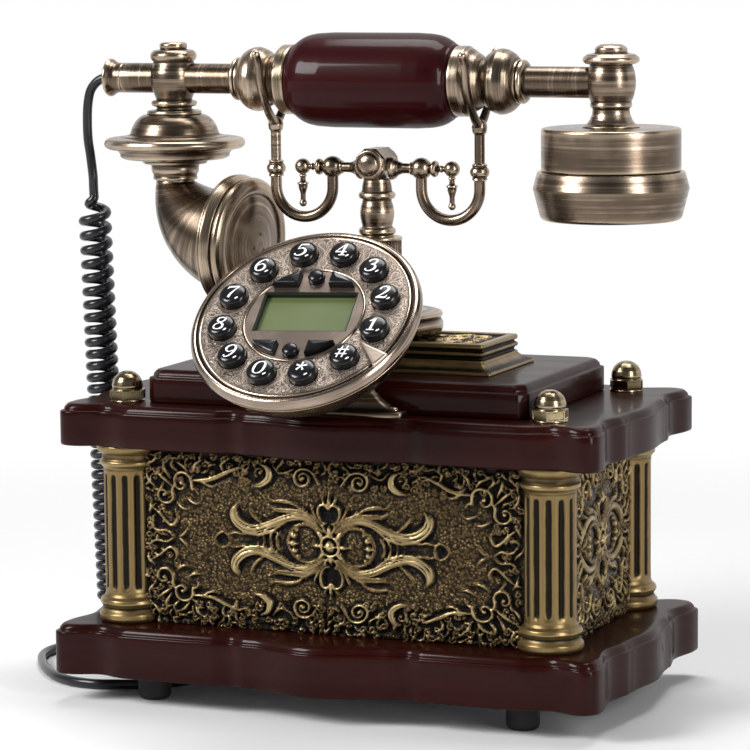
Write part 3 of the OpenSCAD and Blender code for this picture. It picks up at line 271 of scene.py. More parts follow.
def aged_metal(name, light, dark, rough=0.28, brush=1.0, bright_tone=(0.74, 0.60, 0.43)):
    """Brushed, waxed metal: grooves painted dark, partly as patina and partly as painted shade; edges
    painted bright, partly as wear and partly as painted highlight.
    """
    f = Finish(name, Metallic=1.0)
    wrap, place = f.wrap(), f.place()
    lines = f.scratches(wrap)
    broad = f.noise(f.stretch(wrap, 6, 420, 1), 1.0, 2.0)
    cloud = f.noise(place, 38.0, 3.0)
    groove, edge = f.painted("groove"), f.painted("edge")
    patch = lines * 0.36 * brush + broad * 0.5 + cloud * 0.5
    toned = f.mix(f.ramp(patch, 0.46 + 0.18 * brush, 0.66 + 0.18 * brush), dark, light)
    # Edges painted in the bright tone: partly rubbed wear, partly painted highlight.
    toned = f.mix((edge * 0.85).clamp(), toned, bright_tone)
    # Grooves painted dark: patina in turned grooves and recesses, and painted shade where shade
    # marks, as on the dial foot, feed them.
    patina_and_shade = f.ramp(groove * (0.8 + 0.5 * cloud), 0.06, 0.7)
    f.feed("Base Color", f.mix(patina_and_shade, toned, GROOVE_DARK))
    f.feed("Roughness", (rough + (lines - 0.5) * 0.10 * brush + cloud * 0.05 + patina_and_shade * 0.25).clamp())
    f.bump(lines, 0.00003 * brush, 0.5)
    return f.material


def engraved_metal(name, light, dark, rough, brush, bright_tone):
    """Aged metal whose painted "field" is filled with small raised curls on a dark ground."""
    f = Finish(name, Metallic=1.0)
    wrap, place = f.wrap(), f.place()
    lines = f.scratches(wrap)
    cloud = f.noise(place, 60.0, 3.0)
    field, groove, edge = f.painted("field"), f.painted("groove"), f.painted("edge")
    drift = f.noise(place, 420.0, 2.0)
    near = f.cells(place, 300.0)
    curl = f.ramp(((near * 17.0 + drift * 5.5).sine()).absolute(), 0.62, 0.25) * field
    toned = f.mix(f.ramp(lines * 0.5 * brush + cloud * 0.9, 0.55, 0.95), dark, light)
    toned = f.mix(field * 0.7, toned, tuple(c * 0.4 for c in dark))
    toned = f.mix((curl * 0.85 + edge * 0.6).clamp(), toned, bright_tone)
    f.feed("Base Color", f.mix(f.ramp(groove, 0.06, 0.7), toned, GROOVE_DARK))
    f.feed("Roughness", (rough + (lines - 0.5) * 0.16 * brush + field * 0.08).clamp())
    f.bump(curl + edge * 0.5, 0.00016, 0.8)
    return f.material


def gilt_resin(name, light, mid, dark, pebble=1.0):
    """Cast resin in antique gold paint: high places painted lighter, partly as rubbed gold and partly
    as painted highlight; low places painted dark, partly as black wash and partly as painted shade.
    """
    f = Finish(name, Metallic=0.78, Roughness=0.36)
    place = f.place()
    height = f.painted("height") + f.painted("edge")
    hollow = f.painted("hollow") + f.painted("groove")
    ground = f.painted("ground")
    cloud = f.noise(place, 120.0, 4.0, 0.6)
    dots = f.cells(place, 760.0)
    # Pebbled ground: bead tops painted light, partly gold and partly painted highlight; the pits
    # between them painted dark, partly wash and partly painted shade.
    beads = f.ramp(dots, 0.45, 0.15) * ground
    pits = f.ramp(dots, 0.38, 0.64) * ground
    # Higher places painted lighter: partly rubbed gold, partly painted highlight.
    base = f.mix(f.ramp(height + (cloud - 0.5) * 0.5, 0.3, 1.0), mid, light)
    base = f.mix(pits * 0.9, base, dark)
    base = f.mix(beads * f.ramp(f.noise(place, 310.0, 2.0), 0.44, 0.62) * 0.75, base, light)
    # Low places painted dark: partly black wash, partly painted shade.
    base = f.mix(f.ramp(hollow + (cloud - 0.5) * 0.4, 0.14, 0.55), base, dark)
    f.feed("Base Color", base)
    f.feed("Roughness", 0.24 + cloud * 0.16 + hollow * 0.25)
    f.bump(beads * pebble + cloud * 0.3, 0.0006, 0.9)
    return f.material


def plain_plastic(name, colour, rough, spread=0.05, coat=0.0):
    """One colour, slightly uneven in tone, gloss and level."""
    f = Finish(name, Coat_Weight=coat, Coat_Roughness=0.05, Specular_IOR_Level=0.3)
    cloud = f.noise(f.place(), 160.0, 3.0)
    f.feed("Base Color", f.mix(cloud, colour, tuple(min(1, c * 1.25 + 0.004) for c in colour)))
    f.feed("Roughness", rough + (cloud - 0.5) * spread)
    f.bump(f.noise(f.place(), 900.0, 2.0), 0.00003, 0.25)
    return f.material


WOOD = lacquered_wood("maroon lacquer", (0.0060, 0.0006, 0.0004), (0.036, 0.0034, 0.0018))
GRIP_WOOD = lacquered_wood("maroon grip lacquer", (0.010, 0.0006, 0.0010), (0.044, 0.0028, 0.0042))
BRONZE = aged_metal("brushed antique bronze", (0.42, 0.328, 0.250), (0.125, 0.092, 0.066), 0.24)
COPPER = engraved_metal("copper toned dial", (0.40, 0.325, 0.275), (0.20, 0.158, 0.132), 0.33, 0.8,
                        (0.72, 0.60, 0.50))
DIAL_BRIGHT = aged_metal("polished copper rim", (0.40, 0.312, 0.245), (0.16, 0.120, 0.092), 0.18, 0.4,
                         (0.70, 0.58, 0.47))
DIAL_PALE = aged_metal("pale copper finger stop", (0.62, 0.52, 0.44), (0.46, 0.38, 0.31), 0.3, 0.6)
NUT_BRASS = aged_metal("pale nut brass", (0.47, 0.385, 0.235), (0.17, 0.13, 0.07), 0.2, 0.3)
GILT = gilt_resin("antique gilt carving", (0.52, 0.395, 0.195), (0.122, 0.077, 0.029),
                  (0.0055, 0.004, 0.003))
GILT_SMOOTH = gilt_resin("antique gilt mouldings", (0.52, 0.395, 0.18), (0.22, 0.150, 0.060),
                         (0.010, 0.007, 0.004), 0.2)
BLACK_KEY = plain_plastic("glossy black keys", (0.004, 0.004, 0.005), 0.22, 0.04, 0.15)
BLACK_CORD = plain_plastic("glossy black cord", (0.010, 0.010, 0.012), 0.30, 0.08, 0.2)
BLACK_RUBBER = plain_plastic("black rubber", (0.012, 0.012, 0.012), 0.62)
# Dark plastic, also used for discs that stand for the shade inside sound holes.
DARK_PLASTIC_AND_HOLE_SHADE = plain_plastic("dark moulded plastic and hole shade", (0.02, 0.02, 0.022), 0.42)
# White of the keys' signs, also used for the painted glint dash on each key.
WHITE_INK_AND_GLINT = plain_plastic("white key ink and glint", (0.84, 0.84, 0.82), 0.35)
BOARD_GREEN = plain_plastic("circuit board lacquer", (0.02, 0.16, 0.06), 0.35)
STEEL = aged_metal("zinc plated steel", (0.60, 0.60, 0.62), (0.42, 0.42, 0.44), 0.36, 0.6,
                   (0.7, 0.7, 0.72))


def display_finish():
    """Reflective display: grey-green, slightly mottled, under a clear sheet."""
    f = Finish("grey green display", Roughness=0.4, Coat_Weight=0.25, Coat_Roughness=0.05)
    cloud = f.noise(f.place(), 70.0, 2.0)
    f.feed("Base Color", f.mix(cloud, (0.076, 0.102, 0.030), (0.098, 0.128, 0.042)))
    return f.material


DISPLAY = display_finish()
DISPLAY_EDGE = plain_plastic("display surround", (0.006, 0.012, 0.005), 0.4)


# ---------------------------------------------------------------- shapes
WRAP_ROUND = 300.0  # millimetres of wrap round a lofted ring, whatever its size


def at_height(points, z):
    return np.column_stack([points, np.full(len(points), z)])


def raised(profile, height):
    """The same profile of (radius, height), higher up."""
    return [(r, height + z) for r, z in profile]


class Shape:
    """Bench points, their faces, a flat wrap for brushing, and marks for the finishes."""

    def __init__(self, points, quads=(), tris=(), quad_wrap=None, tri_wrap=None, **marks):
        self.points = np.asarray(points, float)
        self.quads = np.asarray(quads, int).reshape(-1, 4)
        self.tris = np.asarray(tris, int).reshape(-1, 3)
        self.quad_wrap = np.zeros((len(self.quads), 4, 2)) if quad_wrap is None else quad_wrap
        self.tri_wrap = np.zeros((len(self.tris), 3, 2)) if tri_wrap is None else tri_wrap
        self.marks = marks
        p = self.points - self.points.mean(0)
        t = np.concatenate([self.tris, self.quads[:, :3], self.quads[:, [0, 2, 3]]])
        if (p[t[:, 0]] * np.cross(p[t[:, 1]], p[t[:, 2]])).sum() < 0:
            self.quads, self.tris = self.quads[:, ::-1], self.tris[:, ::-1]
            self.quad_wrap, self.tri_wrap = self.quad_wrap[:, ::-1], self.tri_wrap[:, ::-1]

    def moved(self, m):
        return Shape(placed(m, self.points), self.quads, self.tris, self.quad_wrap,
                     self.tri_wrap, **self.marks)


def joined(shapes):
    start = np.cumsum([0] + [len(s.points) for s in shapes])
    names = {n for s in shapes for n in s.marks}
    marks = {n: np.concatenate([s.marks.get(n, np.zeros(len(s.points))) for s in shapes])
             for n in names}
    return Shape(np.concatenate([s.points for s in shapes]),
                 np.concatenate([s.quads + a for s, a in zip(shapes, start)]),
                 np.concatenate([s.tris + a for s, a in zip(shapes, start)]),
                 np.concatenate([s.quad_wrap for s in shapes]),
                 np.concatenate([s.tri_wrap for s in shapes]), **marks)


def drawn(name, shape):
    """A Blender object of a bench shape, at the origin, with its wrap and its marks."""
    mesh = bpy.data.meshes.new(name)
    mesh.from_pydata(to_frame(shape.points).tolist(), [],
                     shape.quads.tolist() + shape.tris.tolist())
    for key, data in shape.marks.items():
        mesh.attributes.new(key, "FLOAT", "POINT").data.foreach_set(
            "value", np.asarray(data, np.float32))
    wrap = np.concatenate([shape.quad_wrap.reshape(-1, 2), shape.tri_wrap.reshape(-1, 2)])
    mesh.uv_layers.new(name="wrap").data.foreach_set("uv", wrap.astype(np.float32).ravel())
    return linked(name, mesh)


def piece(name, shapes, material, body, nodes=(), sharp=50):
    """Makes one object of bench shapes, smooth up to the sharp angle, riding on its body."""
    shape = joined(shapes) if isinstance(shapes, list) else shapes
    return finished(drawn(name, shape), material, body, nodes, sharp)


def finished(made, material, body, nodes=(), sharp=50):
    """Shading, material, body and replaced nodes of a piece."""
    made.data.shade_smooth()
    if sharp < 180:
        made.data.set_sharp_from_angle(angle=math.radians(sharp))
    made.data.materials.clear()
    made.data.materials.append(material)
    if body:
        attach(made, body)
    if nodes:
        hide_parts(*nodes)
    return made


def rounded(profile, size, loop=False):
    """Replaces each corner of a line of points with a short curve of three parts."""
    p = [np.array(q, float) for q in profile]
    out = []
    n = len(p)
    for i in range(n):
        if not loop and i in (0, n - 1):
            out.append(p[i])
            continue
        a, b, c = p[i - 1], p[i], p[(i + 1) % n]
        la, lc = np.linalg.norm(a - b), np.linalg.norm(c - b)
        if la < 1e-6 or lc < 1e-6:
            continue
        d = min(size, la * 0.45, lc * 0.45)
        s, e = b + (a - b) / la * d, b + (c - b) / lc * d
        for t in (0, 1 / 3, 2 / 3, 1):
            out.append((1 - t) ** 2 * s + 2 * t * (1 - t) * b + t * t * e)
    return out


def dense(profile, step, loop=False):
    """Adds points so that none are further apart than step."""
    out = []
    n = len(profile)
    for i in range(n if loop else n - 1):
        a, b = profile[i], profile[(i + 1) % n]
        k = max(1, int(math.ceil(np.linalg.norm(b - a) / step)))
        out += [a + (b - a) * j / k for j in range(k)]
    if not loop:
        out.append(profile[-1])
    return np.array(out)


def lengths(p):
    """How far along a line of points each of them lies."""
    return np.concatenate([[0], np.cumsum(np.linalg.norm(np.diff(p, axis=0), axis=1))])


def renumbered(faces, count):
    """The points that faces use, and each one's number among them."""
    used = np.unique(faces)
    fresh = np.zeros(count, int)
    fresh[used] = np.arange(len(used))
    return used, fresh


def between_rings(rings, count, loop=False):
    """Each face between rings of count points: its ring, its place in the ring, its corners."""
    i, j = np.meshgrid(np.arange(rings if loop else rings - 1), np.arange(count), indexing="ij")
    k, l = (i + 1) % rings, (j + 1) % count
    return i, j, np.stack([i * count + j, i * count + l, k * count + l, k * count + j], -1)


def end_fans(rings, count):
    """Closes the first and the last ring to the two points that follow the rings."""
    j = np.arange(count)
    l, last = (j + 1) % count, (rings - 1) * count
    return np.concatenate([np.stack([np.full(count, rings * count), l, j], -1),
                           np.stack([np.full(count, rings * count + 1), last + j, last + l], -1)])


def corner_wrap(u0, u1, v0, v1):
    """Wrap at the corners of faces, from both ends of each face in u and v."""
    return np.stack([np.stack([u0, v0], -1), np.stack([u1, v0], -1), np.stack([u1, v1], -1),
                     np.stack([u0, v1], -1)], -2) * MM


def shelter(p, reach, loop=False):
    """For each point of a profile: how far it lies in a groove, and how far on an edge."""
    s = lengths(p)
    total = s[-1] + np.linalg.norm(p[0] - p[-1])
    away = np.abs(s[:, None] - s[None, :])
    if loop:
        away = np.minimum(away, total - away)
    w = np.exp(-(away / reach) ** 2 / 2)
    smooth = (w @ p) / w.sum(1)[:, None]
    t = np.gradient(p, axis=0)
    t /= np.maximum(np.linalg.norm(t, axis=1), 1e-9)[:, None]
    outward = np.stack([t[:, 1], -t[:, 0]], 1)
    depth = ((smooth - p) * outward).sum(1)
    return np.clip(depth / 0.45, 0, 1), np.clip(-depth / 0.35, 0, 1)


def lathe(profile, place=None, sides=96, corner=0.3, step=0.9, loop=False, reach=0.8, flute=None):
    """Turns a profile of (radius, height) about local Z, which place puts on the bench."""
    profile = list(profile)
    area = sum(a[0] * b[1] - b[0] * a[1] for a, b in zip(profile, profile[1:] + profile[:1]))
    p = dense(rounded(profile if area > 0 else profile[::-1], corner, loop), step, loop)
    groove, edge = shelter(p, reach, loop)
    n = len(p)
    a = np.arange(sides) * 2 * math.pi / sides
    r, z = np.repeat(p[:, 0:1], sides, 1), np.repeat(p[:, 1:2], sides, 1)
    cut = flute(a[None, :], z, r) if flute else np.zeros_like(r)
    points = np.stack([(r - cut) * np.cos(a), (r - cut) * np.sin(a), z], -1).reshape(-1, 3)
    i, j, quads = between_rings(n, sides, loop)
    run = lengths(p)
    run = np.append(run, run[-1] + 1)
    around = 2 * math.pi * max(p[:, 0].mean(), 1) / sides
    wrap = corner_wrap(around * j, around * (j + 1), run[i], run[i + 1]).reshape(-1, 4, 2)
    quads = quads.reshape(-1, 4)
    on_axis = p[:, 0] < 1e-6
    low, high = on_axis[i.ravel()], on_axis[(i.ravel() + 1) % n]
    up, down, whole = low & ~high, high & ~low, ~low & ~high
    tris = np.concatenate([quads[up][:, [0, 2, 3]], quads[down][:, [0, 1, 2]]])
    tri_wrap = np.concatenate([wrap[up][:, [0, 2, 3]], wrap[down][:, [0, 1, 2]]])
    same = np.arange(n * sides)
    same = np.where(np.repeat(on_axis, sides), same // sides * sides, same)
    quads, tris = same[quads[whole]], same[tris]
    used, fresh = renumbered(np.concatenate([quads.ravel(), tris.ravel()]), n * sides)
    marks = {"groove": np.clip(np.repeat(groove, sides) + cut.ravel() * 0.7, 0, 1)[used],
             "edge": np.repeat(edge, sides)[used]}
    points = points[used]
    return Shape(points if place is None else placed(place, points), fresh[quads], fresh[tris],
                 wrap[whole], tri_wrap, **marks)


def smooth_path(points, per=8, loop=False):
    """Catmull-Rom curve through points of any number of values."""
    p = [np.array(q, float) for q in points]
    n = len(p)
    out = []
    for i in range(n if loop else n - 1):
        a = p[i - 1] if (i or loop) else 2 * p[0] - p[1]
        b, c = p[i], p[(i + 1) % n]
        d = p[(i + 2) % n] if (i + 2 < n or loop) else 2 * p[-1] - p[-2]
        for j in range(per):
            t = j / per
            out.append(0.5 * (2 * b + (c - a) * t + (2 * a - 5 * b + 4 * c - d) * t * t
                              + (3 * b - a - 3 * c + d) * t ** 3))
    if not loop:
        out.append(p[-1])
    return np.array(out)


def sweep(path, radii, sides):
    """A closed round bar along a path, turned least, with one radius or one for each point."""
    path = np.asarray(path, float)
    n = len(path)
    radii = np.full(n, radii) if np.isscalar(radii) else np.asarray(radii, float)
    t = np.gradient(path, axis=0)
    t /= np.linalg.norm(t, axis=1)[:, None]
    side = np.cross(t[0], [0.3, 0.9, 0.2])
    points = []
    a = np.arange(sides) * 2 * math.pi / sides
    for i in range(n):
        side = side - t[i] * (side @ t[i])
        side /= np.linalg.norm(side)
        other = np.cross(t[i], side)
        points.append(path[i] + radii[i] * (np.cos(a)[:, None] * side + np.sin(a)[:, None] * other))
    points = np.concatenate(points + [path[:1], path[-1:]])
    i, j, quads = between_rings(n, sides)
    run = lengths(path)
    around = 2 * math.pi * radii.mean() / sides
    wrap = corner_wrap(around * j, around * (j + 1), run[i], run[i + 1])[..., ::-1]
    plain = np.zeros(len(points))
    return Shape(points, quads, end_fans(n, sides), wrap.reshape(-1, 4, 2), groove=plain, edge=plain)


def loft(rings, sheltered=None):
    """Skins rings of equal count, in order, and closes both ends to their middles."""
    rings = [np.asarray(r, float) for r in rings]
    n, m = len(rings), len(rings[0])
    points = np.concatenate(rings + [rings[0].mean(0)[None], rings[-1].mean(0)[None]])
    i, j, quads = between_rings(n, m)
    groove = np.zeros(n) if sheltered is None else np.asarray(sheltered, float)
    marks = {"groove": np.concatenate([np.repeat(groove, m), [0, 0]]),
             "edge": np.zeros(n * m + 2)}
    u = np.linspace(0, WRAP_ROUND, m + 1)
    v = np.cumsum([0] + [np.linalg.norm(b - a, axis=1).mean() for a, b in zip(rings, rings[1:])])
    wrap = corner_wrap(u[j], u[j + 1], v[i], v[i + 1])
    return Shape(points, quads, end_fans(n, m), wrap.reshape(-1, 4, 2), **marks)


def slab(place, u, v, front, back, keep, wrap=None, **marks):
    """A plate over a grid: front heights over a flat back, with holes where keep is false."""
    rows, cols = u.shape
    flat = np.stack([u, v], -1).reshape(-1, 2)
    count = rows * cols
    points = np.concatenate([np.column_stack([flat, front.ravel()]),
                             np.column_stack([flat, np.full(count, back)])])
    index = np.arange(count).reshape(rows, cols)
    a, b = index[:-1, :-1], index[:-1, 1:]
    c, d = index[1:, 1:], index[1:, :-1]
    cell = np.stack([a, b, c, d], -1)
    tops = cell[keep]
    quads = [tops, tops[:, ::-1] + count]
    gone = np.pad(~keep, 1, constant_values=True)
    for dr, dc, e, f in ((-1, 0, a, b), (0, 1, b, c), (1, 0, c, d), (0, -1, d, a)):
        open_side = keep & gone[1 + dr:rows + dr, 1 + dc:cols + dc]
        e, f = e[open_side], f[open_side]
        quads.append(np.stack([f, e, e + count, f + count], -1))
    quads = np.concatenate(quads)
    used, fresh = renumbered(quads, 2 * count)
    flat_wrap = (np.stack([u, v], -1) * MM if wrap is None else wrap).reshape(-1, 2)
    quad_wrap = np.concatenate([flat_wrap, flat_wrap])[quads]
    marks = {k: np.concatenate([m.ravel(), np.zeros(count)])[used] for k, m in marks.items()}
    return Shape(placed(place, points[used]), fresh[quads], (), quad_wrap, **marks)


# ---------------------------------------------------------------- geometry nodes
def new_tree(name, sockets):
    """A tree with these inputs after its geometry, their identifiers, and its input node."""
    tree = bpy.data.node_groups.new(name, "GeometryNodeTree")
    tree.interface.new_socket("Geometry", in_out="INPUT", socket_type="NodeSocketGeometry")
    found = {}
    for label, kind, value in sockets:
        s = tree.interface.new_socket(label, in_out="INPUT", socket_type="NodeSocket" + kind)
        if value is not None:
            s.default_value = value
        found[label] = s.identifier
    tree.interface.new_socket("Geometry", in_out="OUTPUT", socket_type="NodeSocketGeometry")
    return tree, found, tree.nodes.new("NodeGroupInput")


def join_nodes(tree, kind, links, settings=None):
    node = tree.nodes.new(kind)
    for key, value in (settings or {}).items():
        setattr(node, key, value)
    for key, value in links.items():
        if isinstance(value, bpy.types.NodeSocket):
            tree.links.new(value, node.inputs[key])
        else:
            node.inputs[key].default_value = value
    return node


def close_tree(tree, given, made):
    """Ends a tree: real geometry, its finish and the output."""
    real = join_nodes(tree, "GeometryNodeRealizeInstances", {"Geometry": made})
    done = join_nodes(tree, "GeometryNodeSetMaterial",
                      {"Geometry": real.outputs["Geometry"], "Material": given.outputs["Finish"]})
    out = tree.nodes.new("NodeGroupOutput")
    tree.links.new(done.outputs["Geometry"], out.inputs["Geometry"])


def make_tube_tree():
    """A round tube along a line of points whose thickness is in their attribute."""
    tree, ids, given = new_tree("tube along a line", [("Sides", "Int", 16),
                                                      ("Finish", "Material", None)])
    line = join_nodes(tree, "GeometryNodeMeshToCurve", {"Mesh": given.outputs["Geometry"]})
    thick = join_nodes(tree, "GeometryNodeInputNamedAttribute", {"Name": "thickness"},
                       {"data_type": "FLOAT"})
    circle = join_nodes(tree, "GeometryNodeCurvePrimitiveCircle",
                        {"Resolution": given.outputs["Sides"], "Radius": 1.0})
    tube = join_nodes(tree, "GeometryNodeCurveToMesh",
                      {"Curve": line.outputs["Curve"], "Profile Curve": circle.outputs["Curve"],
                       "Scale": thick.outputs["Attribute"], "Fill Caps": True})
    close_tree(tree, given, tube.outputs["Mesh"])
    return tree, ids


TUBE_TREE, TUBE_IDS = make_tube_tree()


def baked(obj, tree, values):
    """Runs a node tree on obj once and keeps the mesh that comes out."""
    modifier = obj.modifiers.new("build", "NODES")
    modifier.node_group = tree
    for key, value in values.items():
        modifier[key] = value
    bpy.context.view_layer.update()
    mesh = bpy.data.meshes.new_from_object(obj.evaluated_get(bpy.context.evaluated_depsgraph_get()))
    obj.modifiers.remove(modifier)
    obj.data = mesh


def tube(name, points, radii, material, body, nodes=(), sides=20):
    """A tube through bench points, with one radius or one for each point."""
    points = np.asarray(points, float)
    radii = np.full(len(points), radii) if np.isscalar(radii) else np.asarray(radii, float)
    mesh = bpy.data.meshes.new(name)
    mesh.from_pydata(to_frame(points).tolist(), [(i, i + 1) for i in range(len(points) - 1)], [])
    mesh.attributes.new("thickness", "FLOAT", "POINT").data.foreach_set(
        "value", (radii * MM).astype(np.float32))
    made = linked(name, mesh)
    baked(made, TUBE_TREE, {TUBE_IDS["Sides"]: sides, TUBE_IDS["Finish"]: material})
    return finished(made, material, body, nodes)


# ---------------------------------------------------------------- handset cord
CURL_OD, CURLS, END_CURL, EVEN_SHARE = 14.8, 36, 9.0, 0.89
LEAD_ROUTE = [(-122, 0, 263.1), (-127, 0, 263.1), (-130.6, 0, 262.2), (-133.6, 0, 260),
              (-135.8, 0, 256.6), (-137, 0, 251), (-137.4, 0, 244), (-137.2, 0, 236),
              (-136.2, 0, 229), (-134.99, -0.28, 220.04), (-135, 0, 216)]
COIL_TOP, COIL_END = np.array([-135.0, 0, 216]), np.array([-135.5, 14, 14])
TAIL_ROUTE = [(-135.5, 14, 14), (-135.51, 14.28, 9.96), (-138, 18, 4.6), (-143, 22, 2.4),
              (-149, 25, 2.2), (-156, 26, 2.2), (-162, 23, 2.2), (-166, 17, 2.2),
              (-167, 9, 2.2), (-165, 0, 2.2), (-160, -10, 2.2), (-153, -21, 2.2),
              (-145, -31, 2.2), (-136, -39, 2.2), (-126, -44, 2.2), (-115, -45, 2.2),
              (-104, -42, 2.2), (-94, -37.6, 2.2), (-86, -33, 2.4), (-78, -28, 3.2),
              (-71.4, -23.6, 5.2), (-67.4, -20.8, 8.2), (-66, -20, 12), (-66, -20, 16)]


def coil_points(per_curl):
    """The curls: closed up at both ends, and pulled a little wider towards the top."""
    axis = COIL_END - COIL_TOP
    run = np.linalg.norm(axis) - 2 * CORD_D
    along = axis / np.linalg.norm(axis)
    u = np.cross(along, [0, 1, 0])
    u /= np.linalg.norm(u)
    v = np.cross(along, u)
    out = []
    for i in range(CURLS * per_curl + 1):
        t = i / per_curl
        near = min(t, CURLS - t)
        r = (CURL_OD - CORD_D) / 2 * ((1 - math.cos(math.pi * near)) / 2 if near < 1 else 1)
        x = (t - 1) / (CURLS - 2)
        if t < 1:
            rise = END_CURL * t
        elif t > CURLS - 1:
            rise = run - END_CURL * (CURLS - t)
        else:
            share = EVEN_SHARE * x + (1 - EVEN_SHARE) * (1 - (1 - x) ** 4)
            rise = END_CURL + (run - 2 * END_CURL) * share
        a = 2 * math.pi * t
        out.append(COIL_TOP + along * (CORD_D + rise) + r * (math.cos(a) * u + math.sin(a) * v))
    return out


def make_cord():
    lead = smooth_path(LEAD_ROUTE, 4)
    tail = smooth_path(TAIL_ROUTE, 4)
    line = np.concatenate([lead, np.array(coil_points(18)), tail])
    cord = tube("handset_cord", line, CORD_D / 2, BLACK_CORD, None,
                ("cord_lead", "curly_cord", "cord_tail"), 14)
    tuple(to_frame(COIL_END))
    tuple(to_frame((COIL_END[0], COIL_END[1], COIL_TOP[2])))
    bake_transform(cord)
    tuple(to_frame(LEAD_ROUTE[0]))
    to_frame(line).tolist()


make_cord()


# ---------------------------------------------------------------- boards and pedestal
SMALL_DIP, SMALL_DIP_RUN = 2.4, 16


def edge_wave(a, b, c, d, bow, dip):
    """Edge line of a board: a bow in the middle, a small dip beside it, a deep one by the ear."""
    if a < b:
        return bow * (1 + math.cos(math.pi * a / b)) / 2
    if c < a < d:
        return -dip * math.sin(math.pi * (a - c) / (d - c)) ** 2
    if a < b + SMALL_DIP_RUN:
        return -SMALL_DIP * math.sin(math.pi * (a - b) / SMALL_DIP_RUN) ** 2
    return 0.0


def board_side(hd, last, b, c, d, bow, dip):
    """One side of a board, hd from the middle: the points of one half, mirrored."""
    s = [b * i / 20 for i in range(21)]
    s += [b + SMALL_DIP_RUN * i / 12 for i in range(1, 13)] if c > b + SMALL_DIP_RUN else []
    s += [c + (d - c) * i / 18 for i in range(19 if last - d > 0.1 else 18)] + [last]
    half = [(x, -hd - edge_wave(x, b, c, d, bow, dip)) for x in s]
    return [(-x, y) for x, y in half[:0:-1]] + half


def spun(points, degrees):
    c, s = math.cos(math.radians(degrees)), math.sin(math.radians(degrees))
    return [(x * c - y * s, x * s + y * c) for x, y in points]


def board_outline(w, d, bow, dip, inset):
    hw, hd, r = w / 2 - inset, d / 2 - inset, EAR_R
    longer = board_side(hd, hw - r, 32, hw - r - 28, hw - r, bow, dip)
    shorter = board_side(hw, hd - r, 24, 26, hd - r - 3, bow / 3, dip * 3 / 4)
    corner = [(r * math.cos(a), r * math.sin(a)) for a in np.radians(np.arange(-81, 0, 9))]
    out = []
    for i in range(4):
        half = (hw, hd) if i % 2 == 0 else (hd, hw)
        out += spun(longer if i % 2 == 0 else shorter, 90 * i)
        out += spun([(half[0] - r + x, -half[1] + r + y) for x, y in corner], 90 * i)
    return np.array(out)


def board_rings(w, d, bow, dip, z, profile):
    return [at_height(board_outline(w, d, bow, dip, inset), z + h) for inset, h in profile]


def stepped_edge(t):
    """Insets and heights of a board's top edge: a small step, then a soft chamfer."""
    return [(1.0, 0), (0.25, 0.25), (0, 0.9), (0, t * 0.3), (0, t * 0.6), (0, t - 3.8),
            (0.1, t - 3.4), (0.4, t - 3.15), (1.0, t - 3.05), (1.25, t - 2.9), (1.3, t - 2.4),
            (1.45, t - 1.7), (2.3, t - 0.55), (2.8, t - 0.2), (3.5, t), (5.5, t), (8.5, t)]


BOARD_SHADE = [0, 0, 0, 0, 0, 0, 0, 0.2, 0.7, 0.8, 0.3, 0, 0, 0, 0, 0, 0]


def under_cover(ring):
    """The plate's underside: in to the recess of the steel cover and up to its floor."""
    half = np.array([COL_X + 7.1, COL_Y + 7.1])
    p = ring[:, :2]
    edge = p / np.max(np.abs(p) / half, axis=1)[:, None]
    return [at_height(edge * k, z)
            for k, z in ((0.5, FOOT_H + 1.3), (1, FOOT_H + 1.3), (1, FOOT_H))]


def make_boards():
    rings = board_rings(BASE_W, BASE_D, BOW, DIP, FOOT_H, stepped_edge(BASE_TOP - FOOT_H))
    piece("base_board", loft(under_cover(rings[0]) + rings, [0, 0, 0] + BOARD_SHADE), WOOD, "base",
          ["base_plate"], 60)
    profile = [(6, 0), (3, 0)] + stepped_edge(BOARD_TOP - BODY_TOP)
    rings = board_rings(TOP_W, TOP_D, BOW * 0.75, DIP, BODY_TOP, profile)
    piece("top_board_dressed", loft(rings, [0, 0] + BOARD_SHADE), WOOD, "base", ["top_board"], 60)


def rectangle_rings(hw, hd, cut, z, profile, soft=0.8):
    """Rings of a rectangle with cut and softened corners, one for each inset and height."""
    rings = []
    for inset, h in profile:
        x, y = hw - inset, hd - inset
        line = [(-x + cut, -y), (x - cut, -y), (x, -y + cut), (x, y - cut), (x - cut, y),
                (-x + cut, y), (-x, y - cut), (-x, -y + cut)]
        line = rounded(line, soft, True)
        more = []
        for a, b in zip(line, line[1:] + line[:1]):
            k = 24 if abs(a - b).max() > 8 else 1
            more += [a + (b - a) * i / k for i in range(k)]
        rings.append(at_height(np.array(more), z + h))
    return rings


def make_tier():
    t = TIER_TOP - BOARD_TOP
    profile = [(1, 0), (0.2, 0.2), (0, 0.8), (0, 3), (0, 6)]
    profile += raised([(0, -4), (0.1, -3.6), (0.5, -3.35), (1.1, -3.25), (1.35, -3.0), (1.4, -2.4),
                       (1.6, -1.7), (2.5, -0.6), (3.0, -0.2), (3.8, 0), (6, 0), (9, 0)], t)
    rings = rectangle_rings(TIER_W / 2, TIER_D / 2, 4, BOARD_TOP, profile)
    piece("upper_tier_dressed", loft(rings, BOARD_SHADE), WOOD, "base", ["upper_tier"], 60)


# ---------------------------------------------------------------- carving
class Stroke:
    """One carved limb: a curve with a half width and a height at each point."""

    def __init__(self, points, ridges=0, loop=False, per=7, sunk=0.55):
        self.line = smooth_path(points, per, loop)
        if loop:
            self.line = np.vstack([self.line, self.line[:1]])
        self.ridges, self.sunk = ridges, sunk

    def mirrored(self, su, sv):
        other = Stroke.__new__(Stroke)
        other.line = self.line * [su, sv, 1, 1]
        other.ridges, other.sunk = self.ridges, self.sunk
        return other


def bead(u, v, r, h):
    return Stroke([(u - 0.01, v, r, h), (u, v, r, h), (u + 0.01, v, r, h)])


